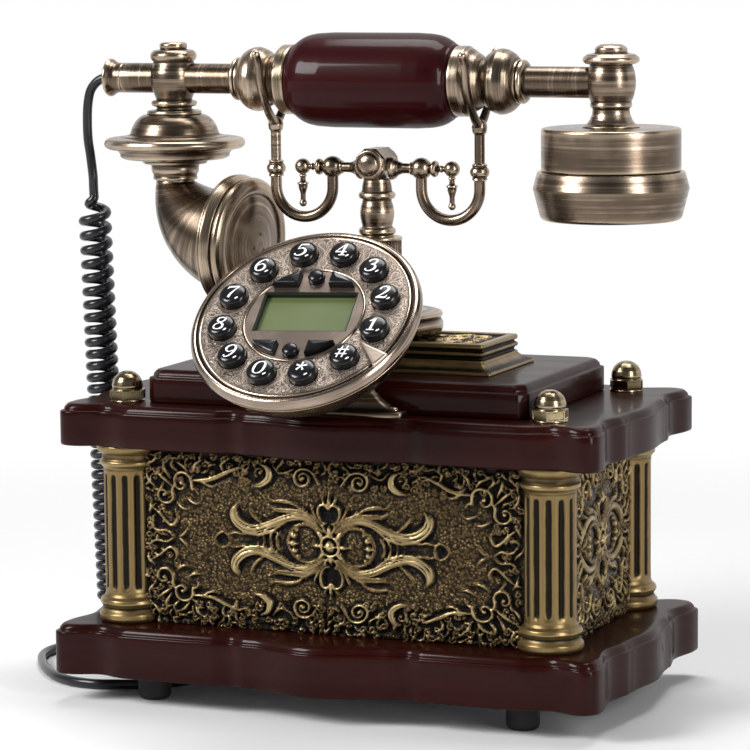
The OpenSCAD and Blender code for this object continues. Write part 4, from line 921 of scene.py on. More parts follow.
def spiral(u, v, r, turns, start, width, height, tail=(), way=1):
    """A volute that winds in to an eye, with an optional tail on its outer end."""
    points = [(*t, width * 0.8, height * 0.8) for t in tail]
    n = int(turns * 8)
    for i in range(n + 1):
        a = math.radians(start) + way * 2 * math.pi * i / 8
        k = r * (1 - 0.72 * i / n)
        points.append((u + k * math.cos(a), v + k * math.sin(a), width * (1 - 0.45 * i / n),
                       height * (1 - 0.15 * i / n)))
    return [Stroke(points, 1), bead(u, v, width * 1.05, height)]


def carve(u, v, strokes):
    """Height over the ground at each grid point, and how far the point lies inside a limb."""
    height = np.zeros_like(u)
    step = abs(u[0, 1] - u[0, 0])
    for s in strokes:
        line = s.line
        w = line[:, 2].max() + step
        lo, hi = line[:, :2].min(0) - w, line[:, :2].max(0) + w
        rows = np.where((v[:, 0] >= lo[1]) & (v[:, 0] <= hi[1]))[0]
        cols = np.where((u[0] >= lo[0]) & (u[0] <= hi[0]))[0]
        if len(rows) == 0 or len(cols) == 0:
            continue
        r0, r1, c0, c1 = rows[0], rows[-1] + 1, cols[0], cols[-1] + 1
        p = np.stack([u[r0:r1, c0:c1].ravel(), v[r0:r1, c0:c1].ravel()], 1)
        best = np.full(len(p), -1.0)
        top = np.zeros(len(p))
        for a, b in zip(line[:-1], line[1:]):
            ab = b[:2] - a[:2]
            q = p - a[:2]
            t = np.clip(q @ ab / max(ab @ ab, 1e-9), 0, 1)
            gap = q - t[:, None] * ab
            d = np.hypot(gap[:, 0], gap[:, 1])
            width = a[2] + (b[2] - a[2]) * t
            side = np.sign(ab[0] * q[:, 1] - ab[1] * q[:, 0]) * d / width
            inside = 1 - np.abs(side)
            h = (a[3] + (b[3] - a[3]) * t) * np.sqrt(np.clip(1 - side ** 2, 0, 1))
            if s.ridges:
                h *= 1 - s.sunk * (0.5 + 0.5 * np.cos(math.pi * s.ridges * (side + 1)))
            nearer = inside > best
            best = np.where(nearer, inside, best)
            top = np.where(nearer & (inside > 0), h, top)
        patch = height[r0:r1, c0:c1]
        np.maximum(patch, top.reshape(patch.shape), out=patch)
    return height


def blurred(a, size):
    k = np.exp(-np.arange(-int(3 * size), int(3 * size) + 1) ** 2 / (2 * size ** 2))
    k /= k.sum()
    n = len(k) // 2
    for axis in (0, 1):
        pad = [(n, n) if i == axis else (0, 0) for i in (0, 1)]
        b = np.pad(a, pad, mode="edge")
        a = sum(k[i] * (b[i:i + a.shape[0]] if axis == 0 else b[:, i:i + a.shape[1]])
                for i in range(len(k)))
    return a


def four_ways(strokes):
    return [s.mirrored(a, b) for s in strokes for a in (1, -1) for b in (1, -1)]


def centre_motif(long_arms):
    """Rosette, oval loops, crowns and acanthus arms about a panel's middle."""
    s = [Stroke([(3.6, 0, 0.9, 1.2), (5.2, 4.9, 0.9, 1.3), (9, 7.6, 0.95, 1.4),
                 (13.2, 7.8, 0.95, 1.4), (17.2, 5.6, 0.9, 1.3), (19.4, 1.8, 0.9, 1.2),
                 (19.7, 0, 0.9, 1.2)], 2),
         Stroke([(0, 15.6, 0.9, 1.6), (2.0, 17.6, 1.0, 1.9), (4.4, 16.6, 1.0, 1.9),
                 (5.0, 13.4, 0.9, 1.7), (3.6, 10.2, 0.8, 1.4), (1.4, 9.0, 0.6, 1.2)], 1),
         Stroke([(5.2, 10.5, 0.5, 1.0), (7.2, 13.8, 0.8, 1.4), (8.4, 17.2, 0.25, 1.0)]),
         Stroke([(7.0, 9.6, 0.5, 1.0), (10.2, 12.6, 0.8, 1.3), (12.4, 15.6, 0.25, 0.9)]),
         Stroke([(0, 16.8, 0.9, 1.7), (0, 19.5, 0.8, 1.7), (0, 22, 0.25, 1.0)]),
         Stroke([(1.2, 17.6, 0.6, 1.4), (2.8, 19.4, 0.6, 1.3), (2.7, 21.4, 0.2, 0.8)]),
         Stroke([(1.2, 5.2, 0.9, 1.5), (2.8, 7.8, 0.9, 1.5), (1.6, 9.8, 0.5, 1.1)], 1),
         bead(17.4, 0, 1.9, 1.9), bead(16.9, 3.1, 1.7, 1.8), bead(15.4, 5.3, 1.2, 1.4)]
    if long_arms:
        s += [Stroke([(3, 5.6, 0.9, 1.2), (8, 9.4, 1.6, 1.5), (14, 11, 2.1, 1.8),
                      (20, 9.8, 2.2, 1.8), (26, 7.2, 2.2, 1.8), (33, 4.9, 2.2, 1.8),
                      (39, 5.2, 2.9, 2.1), (43.3, 8.4, 2.9, 2.3), (44.2, 12.4, 2.0, 2.1),
                      (42, 15.8, 0.4, 1.2)], 3),
              Stroke([(9, 8.6, 0.4, 1.0), (14, 15.4, 0.8, 1.5), (19.4, 17.4, 1.2, 1.6),
                      (25.4, 17.4, 0.8, 1.3), (28, 19.4, 0.3, 0.9)], 2),
              Stroke([(30, 6.4, 0.4, 1.0), (34, 9.4, 1.1, 1.6), (36.6, 13.4, 0.9, 1.4),
                      (35.4, 16.2, 0.3, 0.9)], 2),
              Stroke([(22.4, 2.4, 0.3, 0.9), (26.4, 4.4, 0.8, 1.4), (31, 3.0, 0.9, 1.5),
                      (34.2, 0.8, 0.3, 0.9)], 1),
              Stroke([(2.5, 7, 0.7, 1.1), (6, 10.6, 1.1, 1.3), (12, 13.2, 1.5, 1.5),
                      (19, 13.4, 1.7, 1.4), (24, 13.4, 1.3, 1.2), (28.4, 15.4, 0.3, 0.9)], 2),
              Stroke([(20, 8, 0.6, 1.1), (28, 3.4, 0.9, 1.3), (36, 2.3, 0.8, 1.2),
                      (41, 3.2, 0.3, 0.8)]),
              Stroke([(31, -0.2, 0.4, 0.9), (30, -3.4, 1.1, 1.6), (27.4, -6, 1.0, 1.4),
                      (24, -7.4, 0.3, 0.8)], 1),
              Stroke([(27.8, 0.6, 0.4, 0.9), (27, -2.6, 1.0, 1.5), (25, -5, 0.9, 1.3),
                      (22.6, -6.2, 0.3, 0.8)], 1),
              Stroke([(24.8, 0.8, 0.3, 0.9), (24.4, -2, 0.8, 1.4), (22.8, -4.2, 0.3, 0.9)]),
              Stroke([(53.8, 0, 0.8, 1.3), (52.4, 2, 0.8, 1.4), (50, 3.3, 0.8, 1.5),
                      (47.8, 2.4, 0.8, 1.4), (47, 0.4, 0.8, 1.3)], 1),
              Stroke([(48, 2.2, 0.7, 1.4), (44, 3.0, 0.8, 1.3), (40, 2.4, 0.8, 1.2),
                      (36, 3.4, 0.7, 1.2)], 1)]
    else:
        s += [Stroke([(3, 5.6, 0.9, 1.2), (8, 9.4, 1.5, 1.5), (14, 11, 1.9, 1.8),
                      (19.5, 9.6, 2.1, 1.9), (24, 6.4, 2.0, 2.0), (26.4, 2.6, 1.2, 1.6),
                      (25.4, 0.6, 0.5, 1.2)], 3),
              Stroke([(2.5, 7, 0.7, 1.1), (7, 11.6, 1.1, 1.3), (13, 14, 1.4, 1.5),
                      (18, 14, 1.2, 1.4), (21, 16.6, 0.3, 0.9)], 2),
              Stroke([(25, 7.2, 0.6, 1.2), (29, 9.6, 1.3, 1.7), (31, 14, 0.4, 1.1)], 1)]
    s = four_ways(s)
    s += [bead(0, 0, 3.1, 2.6), Stroke([(4.1 * math.cos(a), 4.1 * math.sin(a), 0.8, 1.7)
                                        for a in np.radians(range(0, 360, 30))], 0, True)]
    for a in np.radians(range(0, 360, 45)):
        c, d = math.cos(a), math.sin(a)
        s.append(Stroke([(4.6 * c, 4.6 * d, 1.3, 1.5), (6.2 * c, 6.2 * d, 1.7, 1.8),
                         (8.2 * c, 8.2 * d, 0.6, 1.0)], 1))
    return s


def corner_motif(w, edges):
    """Rings, leaves and scrolls of a corner and its two edges, for a panel of half width w."""

    def inward(points, ridges=0):
        return Stroke([(w - a, *rest) for a, *rest in points], ridges)

    s = spiral(w - 18.5, 23.2, 5.6, 1.1, 200, 1.15, 1.9, [(w - 26.5, 19.5), (w - 25, 21.5)], -1)
    s += spiral(w - 9.8, 17.8, 4.7, 1.05, 150, 1.05, 1.8, [(w - 15.5, 22.8)], 1)
    for a, b, c in (((14, 21.5), (9.5, 25), (5.5, 27.6)), ((13, 24.5), (10.5, 29), (10, 33)),
                    ((6, 20.5), (3.4, 23.5), (2.4, 27)), ((15.5, 14.8), (19, 12.4), (22.6, 12.6)),
                    ((20.4, 17.4), (24.5, 15.2), (28, 15.6)), ((5.5, 13.4), (3.2, 11), (2.6, 8)),
                    ((22, 27.4), (19, 31), (14.5, 32.6)), ((24.5, 28.4), (25.5, 32), (29, 34)),
                    ((3.6, 30), (6.4, 32.6), (6.6, 36)), ((17, 27.5), (14, 30.5), (14.6, 34.5))):
        s.append(inward([(*a, 0.5, 1.1), (*b, 1.15, 1.9), (*c, 0.25, 0.9)], 1))
    s += [inward([(3, 12.4, 0.4, 1.0), (7.4, 9, 1.0, 1.7), (12.4, 4.6, 1.1, 1.8),
                  (15.4, 7.6, 0.9, 1.6), (14.4, 11, 0.4, 1.1)], 1),
          inward([(2.6, 5.6, 0.4, 1.0), (5.6, 2.2, 0.9, 1.6), (10.4, 2.4, 0.9, 1.6),
                  (13.4, 0.4, 0.7, 1.4)], 1),
          inward([(16, 0.2, 0.5, 1.2), (18.6, 1.8, 1.1, 1.6), (21.4, 5.4, 0.3, 1.0)], 1),
          bead(w - 8.6, 5.8, 0.9, 1.4), bead(w - 17.6, 6.2, 0.8, 1.3)]
    if not edges:
        return s + spiral(w - 31, 27, 4.2, 1.4, 80, 1.05, 1.9, [(w - 38.5, 25.4), (w - 35, 30.6)],
                          -1)
    s += [inward([(22.6, 24.4, 0.6, 1.3), (28, 24.8, 1.1, 1.7), (33, 25.4, 1.2, 1.8),
                  (39, 28.2, 1.2, 1.8), (44.5, 30.4, 0.9, 1.5), (49, 29.4, 0.3, 1.0)], 2),
          inward([(27, 25, 0.6, 1.3), (32.4, 22.6, 0.8, 1.3), (35.6, 23.4, 0.3, 0.9)]),
          inward([(38, 28.8, 0.5, 1.2), (37, 32, 0.9, 1.4), (40.5, 34.4, 0.3, 0.9)]),
          inward([(51.5, 23.2, 0.5, 1.2), (55.6, 23.6, 1.5, 1.9), (59.2, 26.4, 2.0, 2.1),
                  (58.4, 30.6, 1.5, 1.9), (54.6, 32.4, 0.4, 1.2)], 2),
          inward([(60.5, 32.2, 0.4, 1.0), (64, 28.8, 0.7, 1.3), (69.5, 31, 0.6, 1.2)])]
    s += spiral(w - 54.8, 28.8, 2.4, 1.0, 300, 0.7, 1.6, (), 1)
    return s + spiral(w - 74, 27.4, 4.4, 1.5, 100, 1.1, 1.9, [(w - 81.5, 25.4), (w - 78, 30.4)], -1)


def filler_scrolls(u, v, flat, seen, seed):
    """Small curls and leaves set in the empty places near a panel's border."""
    rng = np.random.default_rng(seed)
    step, apart, high = abs(u[0, 1] - u[0, 0]), 3.1, 37.0
    taken = blurred((flat > 0.05).astype(float), 1.1 / step)
    made = []
    for y in np.arange(-high, high + 0.1, apart):
        for x in np.arange(-seen + 2.4, seen - 2.3, apart):
            x1, y1 = x + rng.uniform(-0.9, 0.9), y + rng.uniform(-0.9, 0.9)
            pick, a, way = rng.random(3)
            depth = min(seen - abs(x1), BODY_H / 2 - abs(y1))
            if depth > 9 + 7 * pick or depth < 1.2:
                continue
            r = int(round((y1 - v[0, 0]) / step))
            c = int(round((x1 - u[0, 0]) / step))
            if not (0 <= r < u.shape[0] and 0 <= c < u.shape[1]) or taken[r, c] > 0.30:
                continue
            a, way = 360 * a, 1 if way > 0.5 else -1
            if pick > 0.35:
                made += spiral(x1, y1, 1.7, 1.2, a, 0.52, 1.25, (), way)
            else:
                dx, dy = 2.3 * math.cos(math.radians(a)), 2.3 * math.sin(math.radians(a))
                made.append(Stroke([(x1 - dx, y1 - dy, 0.25, 0.7),
                                    (x1 - 0.3 * dy, y1 + 0.3 * dx, 0.8, 1.4),
                                    (x1 + dx, y1 + dy, 0.2, 0.7)], 1))
    return made


def sampled(values, rows, cols):
    """Values between the points of a grid, at fractional rows and columns."""
    rows = np.clip(rows, 0, values.shape[0] - 1.001)
    cols = np.clip(cols, 0, values.shape[1] - 1.001)
    r, c = rows.astype(int), cols.astype(int)
    fr, fc = rows - r, cols - c
    return ((values[r, c] * (1 - fc) + values[r, c + 1] * fc) * (1 - fr)
            + (values[r + 1, c] * (1 - fc) + values[r + 1, c + 1] * fc) * fr)


PANEL_STEP, PANEL_GROUND, PANEL_BACK = 0.53, -1.15, -3.9
GRIT_SEED, FILLER_SEED = 7, 3


def make_panel(name, turn_z, half_w, out, edges, nodes=(), hole=None):
    """One carved side of the body: u runs to its right, v up from its middle."""
    place = turn("Z", turn_z) @ move(0, -out, BASE_TOP + BODY_H / 2) @ turn("X", 90)
    us = np.linspace(-half_w, half_w, int(2 * half_w / PANEL_STEP) + 1)
    vs = np.linspace(-BODY_H / 2 + 0.05, BODY_H / 2 - 0.05, int(BODY_H / PANEL_STEP) + 1)
    if hole:
        for line, ends in ((us, hole[:2]), (vs, hole[2:])):
            for e in ends:
                line[np.abs(line - e).argmin()] = e
    u, v = np.meshgrid(us, vs)
    seen = half_w - 1.5
    strokes = centre_motif(edges) + four_ways(corner_motif(seen, edges))
    for stroke in strokes:
        stroke.line[:, 2] *= 0.9 if stroke.ridges > 1 else 0.8
    flat = carve(u, v, strokes)
    fillers = filler_scrolls(u, v, flat, seen, FILLER_SEED + int(turn_z) % 7)
    flat = np.maximum(flat, carve(u, v, fillers))
    # A slow drift of the whole ornament, so that its quarters aren't quite alike.
    bend_u = u + 0.55 * np.sin(v * 0.13 + u * 0.031 + turn_z) + 0.25 * np.sin(u * 0.21 + 1.3)
    bend_v = v + 0.45 * np.sin(u * 0.09 + 0.8 + turn_z) + 0.25 * np.sin(v * 0.33 + 2.0)
    cut = sampled(flat, (bend_v - vs[0]) / (vs[-1] - vs[0]) * (len(vs) - 1),
                  (bend_u - us[0]) / (us[-1] - us[0]) * (len(us) - 1))
    limb = np.clip(cut / 1.1, 0, 1)
    ground = 1 - limb
    # Painted shade: the ground darkens near the panel's frame (border) and in the deep holes of the
    # loops (middle); the dark rim beside each limb and in its veins is partly black wash and partly
    # painted shade.
    rim = np.minimum(seen - np.abs(u), BODY_H / 2 - np.abs(v))
    border = np.clip(1 - rim / 15, 0, 1) ** 0.8
    middle = np.exp(-((u / 5) ** 2 + ((np.abs(v) - 13.5) / 3.6) ** 2))
    middle += np.exp(-(((np.abs(u) - 50.3) / 2.2) ** 2 + (v / 1.8) ** 2))
    near = blurred(cut, 1.6 / PANEL_STEP)
    hollow = np.clip(1.7 * (near - cut) + 0.85 * border * (1 - limb)
                     * np.clip(near * 2.2, 0.25, 1.2) + 0.9 * middle * (1 - limb), 0, 1)
    veins = np.clip(blurred(cut, 0.75 / PANEL_STEP) - cut - 0.08, 0, 1) * limb
    hollow = np.clip(hollow + 2.6 * veins, 0, 1)
    grit = blurred(np.random.default_rng(GRIT_SEED).normal(size=u.shape), 0.8) * 0.35
    front = PANEL_GROUND - 0.9 * hollow * (1 - limb) + grit * ground + np.clip(cut, 0, 3) * 0.95
    keep = np.ones((len(vs) - 1, len(us) - 1), bool)
    if hole:
        mu, mv = (us[1:] + us[:-1]) / 2, (vs[1:] + vs[:-1]) / 2
        keep &= ~((mu > hole[0]) & (mu < hole[1]) & (mv[:, None] > hole[2]) & (mv[:, None] < hole[3]))
    shape = slab(place, u, v, front, PANEL_BACK, keep, height=np.clip(cut / 1.9, 0, 1),
                 hollow=hollow, ground=ground)
    return piece(name, shape, GILT, "base", nodes, 180)


def make_body():
    middle = BASE_TOP + BODY_H / 2
    jack = (-48.1, -31.9, 41.9 - middle, 56.1 - middle)
    make_panel("body_front", 0, 88, SHELL_Y, True, ["body_shell"])
    make_panel("body_back", 180, 88, SHELL_Y, True, (), jack)
    make_panel("body_right", 90, 42, SHELL_X, False)
    make_panel("body_left", 270, 42, SHELL_X, False)


PED_FIELD_H = 11.1


def make_pedestal():
    profile = [(-5.0, 0), (-5.5, 0.25), (-5.5, 1.1), (-5.1, 1.5), (-4.2, 1.8), (-3.0, 2.2),
               (-1.9, 2.9), (-1.0, 3.7), (-0.35, 4.3), (0, 4.7), (0, 5.4), (0.8, 5.7), (1.1, 6.1),
               (1.1, 6.7), (0.7, 7.2), (0.1, 7.5), (-0.2, 8.2), (0.1, 8.9), (0.7, 9.2), (1.1, 9.7),
               (1.0, 10.1), (0.3, 10.4), (0, 10.8), (0, 11.9), (0.4, 12.4), (0.9, 12.5), (3.2, 12.5),
               (3.9, 12.3), (4.3, 11.6), (4.8, 11.2), (5.6, PED_FIELD_H), (8, PED_FIELD_H)]
    shade = [0, 0, 0, 0.5, 0.8, 0.5, 0.3, 0.2, 0.3, 0.2, 0.1, 0.9, 1, 1, 0.9, 0.4, 0, 0.4, 0.9, 1,
             1, 0.6, 0.1, 0, 0, 0, 0, 0.4, 0.9, 1, 0.8, 0.6]
    rings = rectangle_rings(56, 22, 0.9, TIER_TOP, profile, 0.6)
    piece("pedestal_mouldings", loft(rings, shade), GILT_SMOOTH, "base", ["pedestal"], 60)


def make_pedestal_relief():
    step = 0.5
    u, v = np.meshgrid(np.arange(-51, 51.01, step), np.arange(-17, 17.01, step))
    quarter = spiral(34, 6.5, 6.2, 1.5, 250, 1.2, 1.3, [(24, 2.4), (29, 0.6)], 1)
    quarter += spiral(45, 9.5, 4.2, 1.2, 200, 1.0, 1.2, (), -1)
    quarter += [Stroke([(20, 6, 0.7, 1.0), (24, 10, 1.4, 1.3), (29, 13.6, 0.4, 0.8)], 2),
                Stroke([(42, 2, 0.6, 1.0), (46, 3.4, 1.3, 1.3), (49.4, 1.2, 0.4, 0.8)], 2),
                Stroke([(30, 11, 0.5, 0.9), (36, 14.4, 1.0, 1.2), (41.5, 14.2, 0.3, 0.8)], 1)]
    cut = carve(u, v, four_ways(quarter))
    near = blurred(cut, 3)
    limb = np.clip(cut / 0.9, 0, 1)
    # The dark beside the limbs and over the ground is partly black wash and partly painted shade.
    shape = slab(move(0, 0, TIER_TOP + PED_FIELD_H), u, v, 0.1 + cut * 0.9, -0.8,
                 np.ones((u.shape[0] - 1, u.shape[1] - 1), bool), height=np.clip(cut / 1.3, 0, 1),
                 hollow=np.clip(1.3 * (near - cut) + 0.35, 0, 1) * (1 - limb), ground=1 - limb)
    piece("pedestal_top_relief", shape, GILT, "base", (), 180)


# ---------------------------------------------------------------- repeated pieces
def make_set_tree():
    """One copy of a pattern piece at each point, turned by the point's own angle."""
    tree, ids, given = new_tree("set of pieces", [("Pattern", "Object", None),
                                                  ("Finish", "Material", None)])
    pattern = join_nodes(tree, "GeometryNodeObjectInfo", {"Object": given.outputs["Pattern"]},
                         {"transform_space": "ORIGINAL"})
    turned = join_nodes(tree, "GeometryNodeInputNamedAttribute", {"Name": "turning"},
                        {"data_type": "FLOAT_VECTOR"})
    copies = join_nodes(tree, "GeometryNodeInstanceOnPoints",
                        {"Points": given.outputs["Geometry"],
                         "Instance": pattern.outputs["Geometry"],
                         "Rotation": turned.outputs["Attribute"]})
    close_tree(tree, given, copies.outputs["Instances"])
    return tree, ids


SET_TREE, SET_IDS = make_set_tree()


def set_of(name, pattern, places, material, body, nodes=(), sharp=50, turns=None):
    """Copies a shape, drawn about the origin in millimetres, to each bench place."""
    source = drawn(name + "_pattern", pattern.moved(move(*MID)))
    mesh = bpy.data.meshes.new(name)
    mesh.from_pydata(to_frame(places).tolist(), [], [])
    angles = np.zeros((len(places), 3)) if turns is None else np.radians(turns)
    mesh.attributes.new("turning", "FLOAT_VECTOR", "POINT").data.foreach_set(
        "vector", np.asarray(angles, np.float32).ravel())
    made = linked(name, mesh)
    baked(made, SET_TREE, {SET_IDS["Pattern"]: source, SET_IDS["Finish"]: material})
    bpy.data.objects.remove(source)
    return finished(made, material, body, nodes, sharp)


CORNERS = [(x, y) for x in (-COL_X, COL_X) for y in (-COL_Y, COL_Y)]


def make_columns():
    """Four turned columns with grooves that stop short of the base and the head."""
    top = BODY_H - 10.5
    groove_depth, grooves, sides = 1.15, 12, 120

    def flute(a, z, r):
        along = np.clip(np.minimum(z - 14, top - 2 - z) / 1.6, 0, 1)
        ripple = np.cos(grooves / 2 * (a + math.pi / grooves)) ** 2
        return groove_depth * np.clip(ripple * 1.5 - 0.35, 0, 1.2) * np.sqrt(along)

    profile = [(2.3, 0), (12.7, 0), (13.7, 1.3), (13.7, 3.4), (12.5, 4.8), (11.9, 5.9), (12.4, 6.7),
               (13.3, 8), (12.9, 9.5), (11.4, 10.5), (10.8, 12)]
    profile += raised([(10.8, 0), (11.3, 0.8), (12.5, 2), (12.5, 3.2), (11.5, 4.2), (11.5, 6.2),
                       (13.1, 7.4), (13.7, 8.6)], top)
    profile += raised([(13.7, -0.6), (13.2, 0), (2.3, 0)], BODY_H)
    column = lathe(profile, None, sides, 0.35, 1.4, True, 0.9, flute)
    set_of("corner_columns_turned", column, [(x, y, BASE_TOP) for x, y in CORNERS], GILT_SMOOTH,
           "base", ["corner_columns"])


def nut_shape():
    """Washer, six framed flats and a polished dome."""
    radius, thick, middle = 7.9, 4.0, 2.8
    mesh = bmesh.new()
    bmesh.ops.create_cone(mesh, cap_ends=True, segments=6, radius1=radius, radius2=radius,
                          depth=thick, matrix=Matrix.Translation((0, 0, middle)))
    flats = [f for f in mesh.faces if abs(f.normal.z) < 0.5]
    caps = [f for f in mesh.faces if abs(f.normal.z) > 0.5]
    for faces, inset, depth in ((flats, 0.7, 0), (flats, 0.25, -0.35), (caps, 0.5, 0.25)):
        bmesh.ops.inset_individual(mesh, faces=faces, thickness=inset, depth=depth)
    bmesh.ops.recalc_face_normals(mesh, faces=mesh.faces[:])
    mesh.verts.index_update()
    points = np.array([v.co for v in mesh.verts])
    quads, tris = [], []
    for f in mesh.faces:
        i = [v.index for v in f.verts]
        if len(i) == 4:
            quads.append(i)
        else:
            tris += [(i[0], i[k], i[k + 1]) for k in range(1, len(i) - 1)]
    mesh.free()
    sunk = np.clip((6.6 - np.hypot(points[:, 0], points[:, 1])) * 2, 0, 0.6)
    sunk = sunk * (np.abs(points[:, 2] - middle) < 1.7)
    nut = Shape(points, quads, tris, groove=sunk, edge=0 * sunk)
    dome = lathe([(0, 3.6), (6.4, 3.6), (6.8, 5.0), (6.4, 5.4), (6.4, 5.8), (6.6, 6.2), (6.6, 7),
                  (6.2, 8.8), (5.3, 10.5), (3.9, 11.8), (2.1, 12.7), (0, 13)], None, 48, 0.25, 0.5)
    washer = lathe([(0, 0), (7.3, 0), (7.3, 0.6), (6.9, 0.9), (0, 0.9)], None, 48, 0.2, 0.6)
    return joined([nut, dome, washer])


def make_nuts():
    turns = [(0, 0, degrees) for degrees in (12, 31, 8, 22)]
    set_of("acorn_nuts_polished", nut_shape(), [(x, y, BOARD_TOP) for x, y in CORNERS], NUT_BRASS,
           "base", ["acorn_nuts"], 40, turns)


def make_feet():
    top = FOOT_H - 0.1
    foot = lathe([(0, 0), (5.6, 0), (6.4, 0.5), (7, 2), (7, FOOT_H - 1.2), (6.5, top), (0, top)],
                 None, 40, 0.4, 1.2)
    set_of("feet_moulded", foot, [(x, y, 0) for x in (-84, 84) for y in (-51.5, 51.5)],
           BLACK_RUBBER, "base", ["rubber_feet"], 60)


# ---------------------------------------------------------------- centre column and cradle
def make_guide():
    """The fluted centre column: its foot stands on the pedestal, its nipple goes down inside."""
    foot, bore = PED_TOP - 1.3, BODY_TOP - 4
    groove_depth, grooves, sides = 0.42, 44, 352

    def flute(a, z, r):
        on = (z > PED_TOP + 17.5) & (z < GUIDE_TOP - 1.6) & (r > 8.5)
        return np.where(on, groove_depth * (0.5 - 0.5 * np.cos(grooves * a)), 0)

    profile = [(7.2, GUIDE_TOP), (7.2, PED_TOP + 12), (4, PED_TOP + 12), (4, bore), (7, bore),
               (7, foot), (24, foot)]
    profile += raised([(25, 0.3), (26.6, 0.9), (27.6, 2), (28, 3.6), (28, 5.6), (27.2, 6.6),
                       (26.8, 7.4), (27.4, 8), (27.9, 8.8), (27.4, 10), (25.6, 10.5), (21.5, 10.4),
                       (20.8, 10.8), (19.4, 10.8), (18.4, 10.5), (16, 11), (14, 12), (12.6, 13.8),
                       (12.0, 15), (12.4, 15.6), (12.4, 16.6), (11.4, 17), (10.4, 17.6)], PED_TOP)
    profile += raised([(10.4, -1.6), (10.7, -1.2), (10.7, -0.4), (10, 0)], GUIDE_TOP)
    column = lathe(profile, None, sides, 0.3, 2.0, True, 0.8, flute)
    piece("guide_column", column, BRONZE, "base", ["fluted_column"])


def make_spring():
    coils, per_coil, radius = 9, 24, 5.9
    turns = np.arange(coils * per_coil + 1) / per_coil
    a = 2 * math.pi * turns
    low, high = PED_TOP + 12.5, GUIDE_TOP - 8.6
    wire = np.column_stack([radius * np.cos(a), radius * np.sin(a),
                            low + 0.4 + (high - low - 0.8) * turns / coils])
    tube("cradle_spring_wire", wire, 0.55, STEEL, "base", ["hook_spring"], 10)


def make_stem():
    low, top = 98.05, HUB_Z - 6.6
    profile = [(0, low), (3.94, low)]
    profile += raised([(3.94, -8), (6.9, -8), (6.9, 0.5), (6.6, 0.7), (7.6, 1.1), (8, 2.0),
                       (7.8, 3.2), (6.5, 3.9), (6.4, 4.6), (6.8, 6), (7.2, 8), (7.35, 10.4),
                       (6.9, 13), (6.2, 15.2), (6.2, 15.8), (7.5, 16.3), (8, 17.5), (7.6, 18.7),
                       (6.5, 19.1), (6.5, 19.8), (6.3, 21.5), (5.8, 24)], GUIDE_TOP)
    profile += [(5.7, top), (0, top)]
    piece("cradle_stem_turned", lathe(profile, None, 72), BRONZE, "cradle", ["cradle_stem"])


def make_hub():
    flat = 6.5 / math.cos(math.pi / 8)
    ends = ((8.3, 0.80), (8.3, 0.88), (7.9, 0.955), (7.3, 1), (3, 1))
    rings = []
    for y, k in [(-y, k) for y, k in ends] + list(ends[::-1]):
        rings.append([(k * flat * math.cos(a), y, HUB_Z + k * flat * math.sin(a))
                      for a in np.radians(22.5 + 45 * np.arange(8))])
    cap = [(0, 0), (5.9, 0), (6.3, 0.4), (6.2, 1.4), (5.7, 1.9), (4.9, 1.8), (4.6, 2.4), (4.2, 3.0),
           (3.2, 3.6), (1.6, 4.1), (0, 4.2)]
    caps = [lathe(cap, move(0, 0, HUB_Z) @ turn("X", 90 * s) @ move(0, 0, 8), 64) for s in (1, -1)]
    piece("cradle_hub_cast", [loft(rings)] + caps, BRONZE, "cradle", ["cradle_hub"], 25)


def ball(x, y, z, r, sides=40):
    profile = [(r * math.cos(a), r * math.sin(a)) for a in np.radians(np.linspace(-90, 90, 25))]
    profile[0], profile[-1] = (0, -r), (0, r)
    return lathe(profile, move(x, y, z), sides, 0.01, 5)


FORK_X, BALL_X, PRONG_ROOT = 46.8, 20.4, AXIS_Z - 18
ARM_Z, LOOP_Z, DROP_X = HUB_Z - 2, HUB_Z - 10.5, BALL_X + 13.9
PRONG = [(0, -1), (3.4, 1), (6.6, 3.6), (9.6, 6.8), (12.4, 10.4), (14.8, 14.4), (16.4, 18.6),
         (17.2, 22.6), (18.2, 26), (20.2, 29.4)]


def hook_arm(side):
    """Cone, ring, ball, turned arm and small ball with its drop."""
    along = move(0, 0, ARM_Z) @ turn("Y", 90 * side)
    cone = [(0, 6.6), (4.9, 6.6), (5.1, 7.2), (4.7, 8.2), (3.6, 9.2), (2.8, 10.4), (2.2, 12)]
    cone += raised([(2.1, -4), (0, -4)], BALL_X)
    ring = raised([(0, -4.9), (2.6, -4.9), (3.0, -4.3), (2.4, -3.7), (0, -3.7)], BALL_X)
    arm = raised([(0, 0), (2.0, 0), (2.0, 4.8), (3.2, 5.2), (3.6, 6.1), (3.2, 7.1), (1.3, 7.6),
                  (1.2, 8.6), (1.7, 9.2), (1.2, 9.8), (1.2, 12), (0, 12)], BALL_X)
    drop = [(0, -17.4), (0.9, -17.2), (1.6, -16.3), (1.7, -15.6), (1.1, -14.4), (1.1, -12),
            (1.3, -11), (2, -9), (1.9, -8), (2.5, -7.6), (2.5, -7), (1.2, -6.4), (1.1, -4.6),
            (1.7, -4.0), (1.2, -3.2), (0, -3.2)]
    return [lathe(cone, along, 48), lathe(ring, along, 48, 0.2, 0.4),
            lathe(arm, along, 48, 0.25, 0.5), ball(side * BALL_X, 0, ARM_Z, 4.7),
            ball(side * DROP_X, 0, ARM_Z, 3.4),
            lathe(drop, move(side * DROP_X, 0, ARM_Z), 40, 0.2, 0.4)]


